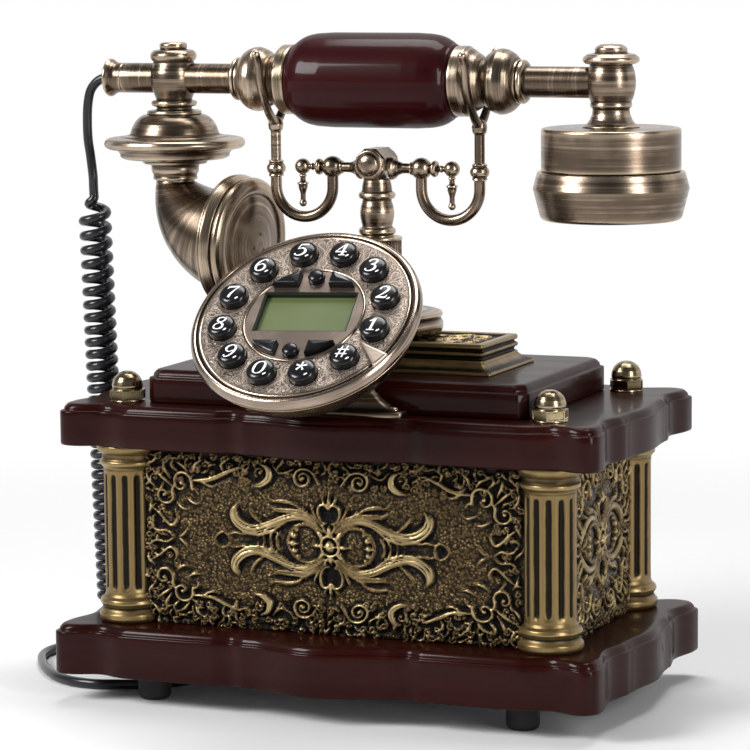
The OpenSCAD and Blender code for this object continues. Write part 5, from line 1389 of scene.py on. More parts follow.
def hook_loop(side):
    """The bent tube under the arm, the ring on its outer end and the post over it."""
    r, x = (FORK_X - BALL_X) / 2, (FORK_X + BALL_X) / 2
    bend = [(side * BALL_X, 0, ARM_Z - 3)]
    bend += [(side * (x - r * math.cos(a)), 0, LOOP_Z - r * math.sin(a))
             for a in np.radians(np.linspace(0, 180, 33))]
    bend += [(side * FORK_X, 0, HUB_Z - 5)]
    half = [(4.2, 0), (3.8, 1.4), (3.2, 1.9), (3.0, 2.4), (3.4, 3.2), (2.6, 3.7), (0, 3.7)]
    ring = [(r, -z) for r, z in half[:0:-1]] + half
    h = PRONG_ROOT - HUB_Z
    post = [(0, -1), (2.2, -1)]
    post += raised([(2.2, -4.4), (3.0, -3.4), (3.3, -1.4), (2.9, 0.8), (1.5, 1.9), (0, 2.1)], h)
    return [sweep(bend, 2.4, 28), lathe(ring, move(side * FORK_X, 0, HUB_Z - 3), 48, 0.2, 0.4),
            lathe(post, move(side * FORK_X, 0, HUB_Z), 40, 0.2, 0.5)]


def hook_prong(side, s):
    line = smooth_path([(side * FORK_X, s * a, PRONG_ROOT + b) for a, b in PRONG], 5)
    t = np.linspace(0, 1, len(line))
    return [sweep(line, 2.1 - 0.4 * np.clip(t * 3, 0, 1) + 0.15 * t ** 6, 24),
            ball(side * FORK_X, s * PRONG[-1][0], PRONG_ROOT + PRONG[-1][1], 1.85, 32)]


def make_hooks():
    for side, name in ((-1, "left"), (1, "right")):
        parts = hook_arm(side) + hook_loop(side) + hook_prong(side, -1) + hook_prong(side, 1)
        piece("hook_" + name + "_bright", parts, BRONZE, "cradle", ["hook_" + name])


# ---------------------------------------------------------------- handset
def turned(name, node, profile, place, sides=96, corner=0.3, step=0.9, loop=False):
    """One bronze turning of the handset."""
    piece(name, lathe(profile, place, sides, corner, step, loop), BRONZE, "handset", [node])


def make_grip():
    g, e, r = GRIP_HALF, COLLAR_R + 0.6, GRIP_R
    half = [(e - 0.9, 0), (e, 0.7), (e + 0.1, 1.4), (e + 1.4, 2.9), (r - 1.9, 5.2), (r - 1.0, 7.6),
            (r - 0.4, 11), (r, 18)]
    grip = [(0, 0)] + half + [(a, 2 * g - b) for a, b in half[::-1]] + [(0, 2 * g)]
    piece("grip_lacquered", lathe(grip, ON_HANDSET @ move(0, 0, -g), 128, 0.8, 1.2), GRIP_WOOD,
          "handset", ["grip"])


def make_arms():
    """Collar, waist, bead, ring and tube on each side of the grip."""
    g = GRIP_HALF
    waist = [(14.3, 0.7), (13.6, 1.8), (12.7, 3.0), (12.4, 3.7), (11.6, 5), (10.6, 6.3), (9.7, 7.3),
             (9.3, 7.9)]
    for mirrored, name, bead_at, end in ((-1, "left", g + 17.4, FERRULE_X - 8),
                                         (1, "right", g + 20, EAR_X + 3)):
        k = (bead_at - g - 12) / 8
        arm = raised([(0, -16), (6, -16), (6, 0.05), (14.3, 0.05), (14.9, 0.6), (14.9, 5.1)], g)
        arm += [(r, g + 5.2 + z * k) for r, z in waist]
        arm += raised([(9.4, -6.8), (10.1, -6.6), (11.2, -5.8), (12.3, -4.4), (13.3, -2.4),
                       (BEAD_R, 0), (13.6, 2.0), (12.9, 3.8), (11.8, 5.4), (10.6, 6.5), (9.9, 6.9),
                       (9.3, 7.1), (9.3, 8.2), (8.6, 8.4), (8.6, 8.8), (9.2, 9.0), (9.3, 9.7),
                       (9.0, 10.4), (8.3, 11), (TUBE_R, 11.5)], bead_at)
        arm += [(TUBE_R, end), (0, end)]
        turned("arm_" + name + "_turned", "arm_" + name, arm, ON_HANDSET @ mirror(1, 1, mirrored))
    ferrule = [(2.2, 0), (7.2, 0), (8.0, 0.35), (8.3, 0.9), (8.2, 1.5), (7.8, 2.1), (7.2, 2.9),
               (6.8, 3.7), (6.5, 4.8), (TUBE_R, 7.9), (2.2, 7.9)]
    turned("cord_ferrule_turned", "cord_ferrule", ferrule, ON_HANDSET @ move(0, 0, -FERRULE_X), 64,
           0.3, 0.6, True)


def make_transmitter():
    """Tee post with its finial, and the broad disc under it."""
    post = [(0, -15.4), (11.9, -15.4), (12, -14.8), (11.6, -13.9), (7.8, -13.6), (7.6, -12.4),
            (9.6, -11.9), (10.1, -10.8), (9.7, -9.8), (7.7, -9.3), (8.6, -7), (9.5, -5),
            (10.1, -2.8), (10.4, 0), (10.2, 2.4), (9.7, 4.8), (8.7, 7.3), (9.3, 7.8), (10, 8.8),
            (10.1, 9.8), (9.9, 10.8), (9.2, 11.6), (8.4, 12.2), (6, 12.4), (5.7, 12.8), (5.9, 13.2),
            (6, 14), (5.9, 14.9), (5.2, 15.5), (0, 15.7)]
    turned("mic_post_turned", "mic_post", post, AT_MIC, 96, 0.25, 0.8)
    r = DISC_R
    disc = [(0, -15.5), (11.4, -15.5), (13.4, -15.8), (14.9, -16.6), (16.4, -17.9), (17.6, -19.4),
            (18.5, -21.2), (19.1, -23), (19.4, -24.2), (20.6, -24.7), (22.4, -24.9), (22.8, -25.4),
            (26.8, -25.6), (r - 1.8, -25.9), (r - 0.6, -26.6), (r, -28), (r - 0.4, -29.4),
            (r - 1.8, -30.4), (26.2, -30.8), (24.9, -31.4), (24, -32.4), (23.7, -34.1), (22, -34.9),
            (15.2, -35.3), (14.2, -36), (13.8, -37), (10.9, -37.5), (10.3, -38.1), (10.4, -39.4),
            (10.2, -40.9), (9.6, -41.5), (9.4, -42.4), (9.7, -43), (9.6, -44), (0, -44)]
    turned("mic_disc_turned", "mic_flange", disc, AT_MIC, 144, 0.35)


HORN_DROP = AXIS_Z - HORN_AXIS_Z
HORN_SPIN = AT_MIC @ turn("Z", -HORN_TURN)
ON_HORN = HORN_SPIN @ move(0, 0, -HORN_DROP) @ turn("Y", 90 + HORN_DIP) @ move(0, 0, ELBOW_LEN)


def horn_elbow():
    """A bend that fans out from the pipe under the disc to the back of the bell."""
    dip, pipe, wide, throat = math.radians(HORN_DIP), 8.35, 23.2, 2.0
    fan_x = ELBOW_LEN * math.cos(dip) + (wide + throat) * math.sin(dip)
    fan_z = -HORN_DROP - ELBOW_LEN * math.sin(dip) + (wide + throat) * math.cos(dip)
    around = np.radians(np.arange(0, 360, 5))
    rings = [[(pipe * math.cos(k), pipe * math.sin(k), -44.1) for k in around]]
    for i in range(37):
        t = i / 36
        a = (math.pi / 2 - dip) * t
        near = throat + (fan_x - pipe - throat) * (1 - t) ** 3.6
        far = fan_x + pipe + (throat + 2 * wide - fan_x - pipe) * t ** 1.43
        m, r = (far + near) / 2, (far - near) / 2
        rings.append([(fan_x - (m - r * math.cos(k)) * math.cos(a), r * math.sin(k),
                       fan_z - (m - r * math.cos(k)) * math.sin(a)) for k in around])
    return loft([placed(HORN_SPIN, ring) for ring in rings])


def make_horn():
    r, z = BELL_R, BELL_LEN
    bell = [(0, -1), (22.6, -1), (24, -0.6), (26.4, -0.3), (r - 0.9, 0), (r - 0.3, 0.4),
            (r - 0.3, 1.1), (r - 0.5, 1.4), (r, 1.8), (r - 0.2, 2.8), (r - 1, 4.6), (r - 1.7, 5.8),
            (r - 2.4, 5.9), (r - 2.4, 6.4), (r - 1.7, 6.6), (r - 1, 7.6), (r - 0.9, 8.6),
            (r - 1.4, 9.8), (r - 2.8, 10.8)]
    bell += raised([(r - 4.6, 0.4), (r - 6.4, 0.4), (r - 7.4, 0), (r - 7.8, -0.6), (r - 8.2, -0.5),
                    (18, 0.4), (12, 1.6), (6, 2.8), (3, 3.3), (0, 3.4)], z)
    piece("horn_cast", [horn_elbow(), lathe(bell, ON_HORN, 160, 0.35, 0.8)], BRONZE, "handset",
          ["horn"])
    # The sound holes are shallow dark discs: painted shade standing for the dark inside the holes.
    hole = lathe([(0, 0), (0.9, 0), (1.2, -0.2), (1.2, -0.5), (0, -0.5)], None, 20, 0.05, 0.3)
    holes = [hole.moved(ON_HORN @ turn("Z", a) @ move(3.8, 0, z + 3.2)) for a in (50, 170, 290)]
    piece("horn_sound_holes", holes, DARK_PLASTIC_AND_HOLE_SHADE, "handset")


def make_receiver():
    """Post with its finial, cap, ring and the sound holes under it."""
    post = [(0, -18.4), (11.8, -18.4), (12.1, -17.9), (11.4, -17.5), (10, -16.9), (8.8, -15.2),
            (7.9, -12.8), (7.6, -10.6), (8.5, -10.1), (8.8, -9.4), (8.6, -8.4), (8.4, -8),
            (8.7, -7.4), (9.6, -5), (10.2, -1.8), (10.3, 1), (9.9, 4.2), (9.3, 6.2), (8.7, 7.5),
            (10.8, 8.0), (11.7, 8.8), (11.9, 9.7), (11.5, 10.7), (10.5, 11.3), (9.8, 11.9),
            (7.2, 12.2), (6.6, 12.7), (6.8, 13.4), (6.7, 14.3), (6, 15), (4.4, 15.8), (0, 16.1)]
    turned("receiver_post_turned", "receiver_post", post, AT_EAR, 96, 0.25, 0.8)
    c = CAP_R
    cap = raised([(c - 3, 0), (c - 0.5, 0), (c, 0.5), (c, 17), (c - 0.4, 17.7), (c - 1.3, 18),
                  (14, 18.1), (0, 18.1), (0, 16), (c - 3, 16)], -36.5)
    turned("receiver_cap_turned", "receiver_cap", cap, AT_EAR, 160, 0.4)
    low, r = -36.6, RING_R - 0.1
    ring = raised([(24.1, -15.4), (24.1, 0), (c + 1.3, 0), (c + 1.7, -0.3), (r, -6.8), (r, -7.2),
                   (c + 0.6, -18.2), (c + 0.2, -19.2), (c - 0.6, -19.9), (c - 1.8, -20.2),
                   (24.4, -20.2), (22.6, -19.5), (21, -19.0), (0, -18.8), (0, -15.4)], low)
    turned("receiver_ring_turned", "receiver_ring", ring, AT_EAR, 160, 0.4)
    # The sound holes are shallow dark discs: the dark is partly the driver behind them and partly
    # painted shade.
    hole = lathe([(0, 0), (1.5, 0), (1.9, -0.25), (1.9, -0.45), (1.4, -0.5), (0, -0.2)], None, 24,
                 0.05, 0.4)
    spots = [(0, 0)] + [(9 * math.cos(a), 9 * math.sin(a)) for a in np.radians(range(0, 360, 60))]
    set_of("receiver_sound_holes", hole, [(EAR_X + x, y, AXIS_Z + low - 18.75) for x, y in spots],
           DARK_PLASTIC_AND_HOLE_SHADE, "handset")


# ---------------------------------------------------------------- dial
FACE_R, LEAF_R, LEAF_X, LEAF_Y = 43.9, 23.9, 6.8, 16.0
LCD_BOX = (-LCD_W / 2, LCD_W / 2, LCD_UP - LCD_H / 2, LCD_UP + LCD_H / 2)
PLUNGER_END, FLANGE_TOP = -7.5, -2.8
KEY_ANGLES = {"key_1": -15, "key_2": 15, "key_3": 45, "key_4": 75, "key_5": 105, "key_6": 135,
              "key_7": 165, "key_8": 195, "key_9": 225, "key_0": 255, "key_star": 285,
              "key_hash": 315}


def polar(radius, degrees):
    a = math.radians(degrees)
    return radius * math.cos(a), radius * math.sin(a)


def key_spot(name):
    return polar(KEY_RING_R, KEY_ANGLES[name])


def sheet_of(place, reach, step, outside, front, back, marks=None, wrap=None):
    """A plate whose outline is where outside(u, v) turns positive; edge points lie on it."""
    (u0, u1), (v0, v1) = reach
    u, v = np.meshgrid(np.arange(u0, u1 + step, step), np.arange(v0, v1 + step, step))
    keep = outside((u[1:, 1:] + u[:-1, :-1]) / 2, (v[1:, 1:] + v[:-1, :-1]) / 2) < 0
    near = np.abs(outside(u, v)) < step * 1.05
    around = np.zeros(u.shape, int)
    for r in (slice(0, -1), slice(1, None)):
        for c in (slice(0, -1), slice(1, None)):
            around[r, c] += keep
    edge = (around > 0) & (around < 4) & near
    e = 0.01
    for _ in range(4):
        d = outside(u, v)
        gu = (outside(u + e, v) - outside(u - e, v)) / (2 * e)
        gv = (outside(u, v + e) - outside(u, v - e)) / (2 * e)
        size = np.maximum(gu * gu + gv * gv, 0.2)
        u = np.where(edge, u - d * gu / size, u)
        v = np.where(edge, v - d * gv / size, v)
    made = marks(u, v) if marks else {}
    return slab(place, u, v, front(u, v) if callable(front) else np.full(u.shape, front), back,
                keep, wrap(u, v) if wrap else None, **made)


def box_gap(u, v, x0, x1, y0, y1):
    return np.maximum(np.maximum(x0 - u, u - x1), np.maximum(y0 - v, v - y1))


def leaf_gap(u, v, inset):
    """Distance outside a leaf key's outline, in the quarter where it lies."""
    u, v = np.abs(u), np.abs(v)
    return np.maximum(np.maximum(LEAF_X + inset - u, LEAF_Y + inset - v),
                      np.hypot(u, v) - (LEAF_R - inset))


def face_gap(u, v):
    """Distance outside the face plate: its edge, the keys' holes and the display's window."""
    d = np.hypot(u, v) - FACE_R
    for name in KEY_ANGLES:
        x, y = key_spot(name)
        d = np.maximum(d, KEY_R + KEY_GAP - np.hypot(u - x, v - y))
    for s in (-1, 1):
        d = np.maximum(d, SMALL_KEY_R + KEY_GAP - np.hypot(u, v - s * SMALL_KEY_Y))
    d = np.maximum(d, -leaf_gap(u, v, -KEY_GAP))
    return np.maximum(d, -box_gap(u, v, *LCD_BOX))


# Engraved strokes of one twelfth of the face: points (radius, degrees, half width). The first
# group is cut on both sides of its middle.
PAIRED_CUTS = [[(27.4, 1.5, 0.22), (29.6, 3.4, 0.34), (32, 1.6, 0.34), (34.4, 0.4, 0.3),
                (37, 1.8, 0.34), (39, 4.6, 0.34), (40.9, 6.8, 0.3), (42.2, 4.4, 0.24),
                (41, 3.0, 0.2)],
               [(27.3, 5, 0.2), (28.6, 8.4, 0.34), (27.6, 11.4, 0.28), (26.9, 9.4, 0.2)],
               [(42.6, 8, 0.2), (41.4, 10.4, 0.32), (42.2, 13.4, 0.3), (43.1, 11.6, 0.2)],
               [(39.6, 0.9, 0.2), (41.6, 1.5, 0.34), (43.2, 0, 0.24)]]
MIDDLE_CUTS = [[(30.6, 0, 0.3), (31.6, 0, 0.42), (32.8, 0, 0.2)],
               [(36, 0, 0.24), (37.4, 0, 0.42), (38.6, 0, 0.2)]]


def engraved_scrolls():
    return [Stroke([(*polar(r, a + way * d), w, 1) for r, d, w in line])
            for a in range(0, 360, 30)
            for way, cuts in ((-1, PAIRED_CUTS), (1, PAIRED_CUTS), (0, MIDDLE_CUTS))
            for line in cuts]


def make_dial_face():
    """Face plate, engraved between the keys, with its windows cut out."""
    scrolls = engraved_scrolls()
    cache = []

    def cut(u, v):
        """The engraving, worked out once, on the plate's final grid."""
        if not cache:
            cache.append(np.clip(carve(u, v, scrolls), 0, 1))
        return cache[0]

    def marks(u, v):
        r = np.hypot(u, v)
        lines = cut(u, v) * np.clip((r - 26.4) * 3, 0, 1)
        around = blurred(lines, 1.4)
        return {"edge": np.clip(lines * 1.15, 0, 1),
                "groove": np.clip(around * 0.75 - lines * 0.7, 0, 0.45) * (r > 26.2),
                "field": np.clip((r - 26.2) * 2, 0, 1) * np.clip((43.6 - r) * 2, 0, 1)}

    def wrap(u, v):
        return np.stack([0.03 * np.cos(np.arctan2(v, u)), np.hypot(u, v) * MM], -1)

    half, step, depth = 44.2, 0.46, 0.10
    face = sheet_of(ON_DIAL, ((-half, half), (-half, half)), step, face_gap,
                    lambda u, v: -depth * cut(u, v), -FACE_T, marks, wrap)
    piece("dial_face_engraved", face, COPPER, "base", ["dial_face"], 40)


def make_dial_rings():
    r = DIAL_R
    rim = [(43.6, -2.5), (43.6, -0.8), (43.7, -0.2), (44.4, 0.12), (44.9, -0.1), (45.2, -1.1),
           (45.8, -1.15), (46.1, -0.1), (46.8, 0.12), (47.7, -0.2), (48.5, -1.3), (r, -3),
           (r, -4.2), (48.2, -5.0), (47.4, -5.4), (45.9, -5.4), (45.9, -2.5)]
    oval = [(24.7, -0.3), (24.8, 0.25), (25.2, 0.62), (25.5, 0.7), (25.8, 0.62), (26.2, 0.25),
            (26.3, -0.3)]
    piece("dial_rim_rolled", lathe(rim, ON_DIAL, 180, 0.22, 0.5, True, 0.7), DIAL_BRIGHT, "base")
    piece("dial_oval_ring", lathe(oval, ON_DIAL, 180, 0.1, 0.4, True, 0.5), DIAL_BRIGHT, "base")


def make_bowl():
    profile = [(0, -31), (5, -30.9), (21, -30), (25.4, -29.1), (29, -27.5), (32.4, -25.3),
               (35.4, -22.5), (38.3, -19.8), (40.8, -17), (43.2, -14), (45.2, -11), (46.6, -8.6),
               (47.6, -6.5), (48.1, -5.7), (46.3, -5.6), (45.6, -6.6), (43.2, -11), (38.8, -17),
               (33.4, -22.5), (27, -26.4), (19, -28.2), (0, -29)]
    bowl = lathe(profile, ON_DIAL, 128, 0.5, 1.2)
    piece("dial_bowl_spun", bowl, BRONZE, "base", ["dial_housing"])


def long_oval(half_w, half_d, y, z):
    """A ring between an ellipse and a rectangle, y from the middle and at height z."""
    power, count = 5.0, 96
    a = np.arange(count) * 2 * math.pi / count
    c, s = np.cos(a), np.sin(a)
    k = (np.abs(c) ** power + np.abs(s) ** power) ** (-1 / power)
    return at_height(np.column_stack([half_w * k * c, y + half_d * k * s]), z)


def make_dial_foot():
    """An oval foot in front of the upper tier, drawn in to the neck of the bowl."""
    y = -TIER_D / 2 - 7
    levels = ((34.6, 4.6, 0, 128.02), (35.4, 5.4, 0, 128.2), (35.5, 5.5, 0, 128.8),
              (35.5, 5.5, 0, 129.8), (35.0, 5.1, 0, 130.4), (33.2, 4.9, 0, 130.8),
              (30.6, 4.8, 0.2, 131.5), (27.8, 4.7, 0.4, 133.0), (24.6, 4.6, 0.7, 135.2),
              (21.6, 4.5, 0.9, 138.0), (18.6, 4.3, 0.6, 141.4), (15.6, 4.2, -0.2, 145.0),
              (13.2, 4.1, -1.2, 148.6), (12.0, 4.0, -2.0, 152.0))
    shade = [0, 0, 0, 0, 0.3, 0.9, 0.6, 0.3, 0.1, 0, 0, 0, 0.2, 0.6]
    foot = loft([long_oval(w, d, y + lean, z) for w, d, lean, z in levels], shade)
    piece("dial_foot_cast", foot, BRONZE, "base", ["dial_stem"], 60)
    head = lathe([(0, 0), (2.4, 0), (2.5, 0.5), (2.0, 1.2), (1.1, 1.55), (0, 1.65)], None, 32, 0.2,
                 0.4)
    set_of("dial_foot_screws", head, [(x, y, 130.6) for x in (-30.6, 30.6)], DIAL_BRIGHT, "base")


def make_finger_stop():
    """A small three-cornered plate between the keys 1 and # and the rim."""
    corners = np.array([(28.0, -14.6), (52.0, -27.4), (42.6, -36.0)])
    spots = [key_spot("key_1"), key_spot("key_hash")]
    middle = corners.mean(0)

    def outside(u, v):
        d = np.hypot(u, v) - (DIAL_R - 1.2)
        for a, b in zip(corners, np.roll(corners, -1, 0)):
            n = np.array([b[1] - a[1], a[0] - b[0]])
            n = n / np.linalg.norm(n)
            if (middle - a) @ n > 0:
                n = -n
            d = np.maximum(d, (u - a[0]) * n[0] + (v - a[1]) * n[1])
        for x, y in spots:
            d = np.maximum(d, KEY_R + 1 - np.hypot(u - x, v - y))
        return d

    def top(u, v):
        return 1.7 - 0.5 * np.clip(1 + outside(u, v) / 0.9, 0, 1) ** 2

    plate = sheet_of(ON_DIAL, ((26, 49), (-36, -12)), 0.22, outside, top, 0.15)
    piece("finger_stop_plain", plate, DIAL_PALE, "base", ["finger_stop"], 60)


def dial_block(x0, x1, y0, y1, z0, z1, soft):
    """A block on the dial with a small chamfer round its front."""
    rings = []
    for inset, z in ((soft, z0), (0, z0 + soft), (0, z1 - soft), (soft, z1)):
        a, b, c, d = x0 + inset, x1 - inset, y0 + inset, y1 - inset
        rings.append([(a, c, z), (b, c, z), (b, d, z), (a, d, z)])
    return loft([placed(ON_DIAL, r) for r in rings])


def make_display():
    x0, x1, y0, y1 = LCD_BOX
    glass = dial_block(x0 - 1.5, x1 + 1.5, y0 - 1.5, y1 + 1.5, -3.8, -2.6, 0.2)
    piece("display_glass", glass, DISPLAY, "base", ["lcd_glass"], 30)
    x0, x1, y0, y1, bar = x0 + 0.05, x1 - 0.05, y0 + 0.05, y1 - 0.05, 0.7
    bars = [dial_block(*box, -2.6, -0.4, 0.15) for box in (
        (x0, x1, y0, y0 + bar), (x0, x1, y1 - bar, y1), (x0, x0 + bar, y0, y1),
        (x1 - bar, x1, y0, y1))]
    piece("display_gasket", bars, DISPLAY_EDGE, "base", (), 30)


# Strokes of each sign: points (x, y, half width) in a box one unit high.
SIGNS = {
    "0": [[(0.36, 1, 0.028), (0.12, 0.86, 0.055), (0.05, 0.5, 0.082), (0.12, 0.14, 0.055),
           (0.36, 0, 0.028), (0.6, 0.14, 0.055), (0.67, 0.5, 0.082), (0.6, 0.86, 0.055),
           (0.36, 1, 0.028)]],
    "1": [[(0.38, 0.02, 0.08), (0.38, 0.5, 0.08), (0.38, 0.98, 0.08)],
          [(0.12, 0.74, 0.03), (0.26, 0.84, 0.04), (0.38, 0.97, 0.05)],
          [(0.14, 0.02, 0.03), (0.38, 0.02, 0.035), (0.62, 0.02, 0.03)]],
    "2": [[(0.1, 0.74, 0.075), (0.15, 0.92, 0.04), (0.36, 1, 0.035), (0.58, 0.88, 0.075),
           (0.6, 0.68, 0.08), (0.46, 0.42, 0.055), (0.24, 0.2, 0.04), (0.06, 0.05, 0.035)],
          [(0.06, 0.05, 0.05), (0.35, 0.06, 0.06), (0.62, 0.05, 0.055), (0.7, 0.24, 0.02)]],
    "3": [[(0.1, 0.8, 0.065), (0.18, 0.95, 0.035), (0.36, 1, 0.035), (0.56, 0.9, 0.065),
           (0.56, 0.7, 0.065), (0.42, 0.57, 0.035), (0.28, 0.54, 0.028)],
          [(0.3, 0.55, 0.028), (0.52, 0.5, 0.05), (0.64, 0.3, 0.08), (0.54, 0.08, 0.06),
           (0.32, 0, 0.035), (0.12, 0.06, 0.035), (0.06, 0.2, 0.065)]],
    "4": [[(0.5, 0.98, 0.03), (0.28, 0.66, 0.03), (0.03, 0.3, 0.03)],
          [(0.03, 0.29, 0.04), (0.38, 0.29, 0.04), (0.72, 0.29, 0.04)],
          [(0.5, 0.98, 0.075), (0.5, 0.5, 0.08), (0.5, 0.02, 0.08)],
          [(0.3, 0.02, 0.03), (0.5, 0.02, 0.03), (0.7, 0.02, 0.03)]],
    "5": [[(0.16, 0.95, 0.055), (0.4, 0.94, 0.06), (0.64, 0.97, 0.045)],
          [(0.17, 0.95, 0.03), (0.14, 0.74, 0.03), (0.12, 0.54, 0.03)],
          [(0.12, 0.54, 0.03), (0.34, 0.63, 0.04), (0.56, 0.52, 0.065), (0.64, 0.3, 0.08),
           (0.52, 0.08, 0.06), (0.3, 0, 0.035), (0.1, 0.06, 0.035), (0.05, 0.18, 0.06)]],
    "6": [[(0.62, 0.84, 0.06), (0.52, 0.97, 0.035), (0.36, 0.97, 0.035), (0.16, 0.76, 0.055),
           (0.07, 0.44, 0.08), (0.12, 0.14, 0.065), (0.34, 0, 0.032), (0.56, 0.1, 0.06),
           (0.64, 0.3, 0.075), (0.55, 0.5, 0.05), (0.36, 0.58, 0.03), (0.16, 0.46, 0.03)]],
    "7": [[(0.05, 0.92, 0.065), (0.34, 0.93, 0.065), (0.66, 0.95, 0.045)],
          [(0.06, 0.94, 0.03), (0.04, 0.84, 0.03), (0.02, 0.74, 0.02)],
          [(0.66, 0.95, 0.03), (0.5, 0.64, 0.045), (0.36, 0.3, 0.075), (0.32, 0.02, 0.085)]],
    "8": [[(0.36, 1, 0.03), (0.16, 0.92, 0.055), (0.14, 0.7, 0.06), (0.36, 0.54, 0.055),
           (0.58, 0.38, 0.07), (0.6, 0.12, 0.06), (0.36, 0, 0.03), (0.12, 0.1, 0.05),
           (0.1, 0.34, 0.04), (0.32, 0.52, 0.03), (0.54, 0.68, 0.045), (0.57, 0.9, 0.045),
           (0.36, 1, 0.03)]],
    "*": [[(x, y, 0.07), (0.36, 0.62, 0.03)] for x, y in (
        (0.36, 0.98), (0.04, 0.74), (0.68, 0.74), (0.16, 0.32), (0.56, 0.32))],
    "#": [[(0.24, 0.98, 0.042), (0.2, 0.5, 0.042), (0.16, 0.04, 0.042)],
          [(0.56, 0.98, 0.042), (0.52, 0.5, 0.042), (0.48, 0.04, 0.042)],
          [(0.02, 0.68, 0.042), (0.36, 0.69, 0.042), (0.72, 0.68, 0.042)],
          [(0, 0.32, 0.042), (0.36, 0.33, 0.042), (0.7, 0.32, 0.042)]]}
SIGNS["9"] = [[(0.72 - x, 1 - y, w) for x, y, w in SIGNS["6"][0]]]
SIGN_H, SIGN_W, SLANT = 6.5, 1.08, 0.16
# A short white dash at the lower right of every key: a painted glint of the glossy dome.
GLINT_DASH = [(2.3, -3.7, 0.2), (2.9, -3.2, 0.3), (3.5, -2.7, 0.2)]


def dome(r, radius, height):
    """Height of a key's cap at distance r from its middle."""
    return height - 1.1 * np.clip(r / radius, 0, 1) ** 8 - 0.4 * np.clip(r / radius, 0, 1) ** 2


def ribbon(points, at, lift):
    """A thin inlaid stroke that follows the cap: a top and a floor of four lines each."""
    line = smooth_path(points, 5)
    d = np.gradient(line[:, :2], axis=0)
    d /= np.maximum(np.linalg.norm(d, axis=1), 1e-9)[:, None]
    across = np.stack([-d[:, 1], d[:, 0]], 1)
    n = len(line)
    rows = []
    for k in (-1, -0.33, 0.33, 1):
        p = line[:, :2] + across * (line[:, 2:] * k)
        rows.append(np.column_stack([p, dome(np.hypot(p[:, 0], p[:, 1]), KEY_R, KEY_H) + lift]))
    points = np.concatenate(rows + [r - [0, 0, 0.3] for r in rows])
    i = np.arange(n - 1)
    quads = []
    for k in range(3):
        a, b = k * n, (k + 1) * n
        quads.append(np.stack([a + i, a + i + 1, b + i + 1, b + i], -1))
        quads.append(np.stack([b + i, b + i + 1, a + i + 1, a + i], -1) + 4 * n)
    for a, b in ((0, 4 * n), (7 * n, 3 * n)):
        quads.append(np.stack([b + i, b + i + 1, a + i + 1, a + i], -1))
    for e, way in ((0, 1), (n - 1, -1)):
        for k in range(3):
            q = [k * n + e, (k + 1) * n + e, (k + 5) * n + e, (k + 4) * n + e][::way]
            quads.append(np.array([q]))
    return Shape(placed(at, points), np.concatenate(quads))


def key_profile(r, cap):
    """Plunger, flange and side of a round key under its cap."""
    flange = r + KEY_GAP + 0.6
    return [(0, PLUNGER_END), (1.2, PLUNGER_END), (1.2, FLANGE_TOP - 1), (flange, FLANGE_TOP - 1),
            (flange, FLANGE_TOP), (r, FLANGE_TOP)] + cap


def make_key_sign_and_glint(name, at):
    parts = []
    for k, stroke in enumerate(SIGNS[{"key_star": "*", "key_hash": "#"}.get(name, name[-1])]):
        moved = []
        for a, b, w in stroke:
            x, y = (a - 0.36) * SIGN_H * SIGN_W, (b - 0.5) * SIGN_H
            moved.append((x + y * SLANT, y, w * SIGN_H))
        parts.append(ribbon(moved, at, 0.05 + 0.004 * k))
    # The dash at the lower right is a painted glint, drawn in white.
    parts.append(ribbon(GLINT_DASH, at, 0.05))
    piece(name + "_sign", parts, WHITE_INK_AND_GLINT, name, (), 40)


def make_round_keys():
    cap = [(KEY_R * i / 12, float(dome(KEY_R * i / 12, KEY_R, KEY_H))) for i in range(12, -1, -1)]
    for name in KEY_ANGLES:
        at = ON_DIAL @ move(*key_spot(name), 0)
        key = lathe(key_profile(KEY_R, cap), at, 72, 0.25, 0.5)
        piece(name + "_cap", key, BLACK_KEY, name, [name])
        make_key_sign_and_glint(name, at)


def make_small_keys():
    r, h = SMALL_KEY_R, 3.2
    cap = [(r * i / 8, float(h - 0.9 * (i / 8) ** 4 - 0.2 * (i / 8) ** 2)) for i in range(8, -1, -1)]
    for name, s in (("upper_middle_key", 1), ("lower_middle_key", -1)):
        at = ON_DIAL @ move(0, s * SMALL_KEY_Y, 0)
        piece(name + "_cap", lathe(key_profile(r, cap), at, 56, 0.2, 0.4), BLACK_KEY, name, [name])


def leaf_ring(inset, z):
    """Outline of a leaf key: two straight sides and the arc between them."""
    x, y, r = LEAF_X + inset, LEAF_Y + inset, LEAF_R - inset
    a0, a1 = math.asin(y / r), math.acos(x / r)
    line = [(x + (r * math.cos(a0) - x) * i / 10, y) for i in range(10)]
    line += [(r * math.cos(a), r * math.sin(a)) for a in np.linspace(a0, a1, 15)]
    line += [(x, r * math.sin(a1) + (y - r * math.sin(a1)) * i / 8) for i in range(1, 8)]
    return at_height(line, z)


def make_leaf_keys():
    flange, low = -KEY_GAP - 0.6, FLANGE_TOP - 1
    levels = [(flange, low), (flange, FLANGE_TOP - 0.1), (-KEY_GAP - 0.5, FLANGE_TOP),
              (0, FLANGE_TOP), (0, 2.1), (0.12, 2.5), (0.4, 2.75), (0.7, 2.86), (1.5, 3.02),
              (2.3, 3.2)]
    plunger = [(0, PLUNGER_END), (1, PLUNGER_END), (1, low + 0.1), (0, low + 0.1)]
    for name, x, y in (("upper_right_key", 1, 1), ("upper_left_key", -1, 1),
                       ("lower_right_key", 1, -1), ("lower_left_key", -1, -1)):
        place = ON_DIAL @ mirror(x, y, 1)
        leaf = loft([placed(place, leaf_ring(inset, z)) for inset, z in levels])
        pin = lathe(plunger, place @ move(10.5, LCD_H / 2 + 8, 0), 24, 0.1, 2)
        piece(name + "_cap", [leaf, pin], BLACK_KEY, name, [name], 30)


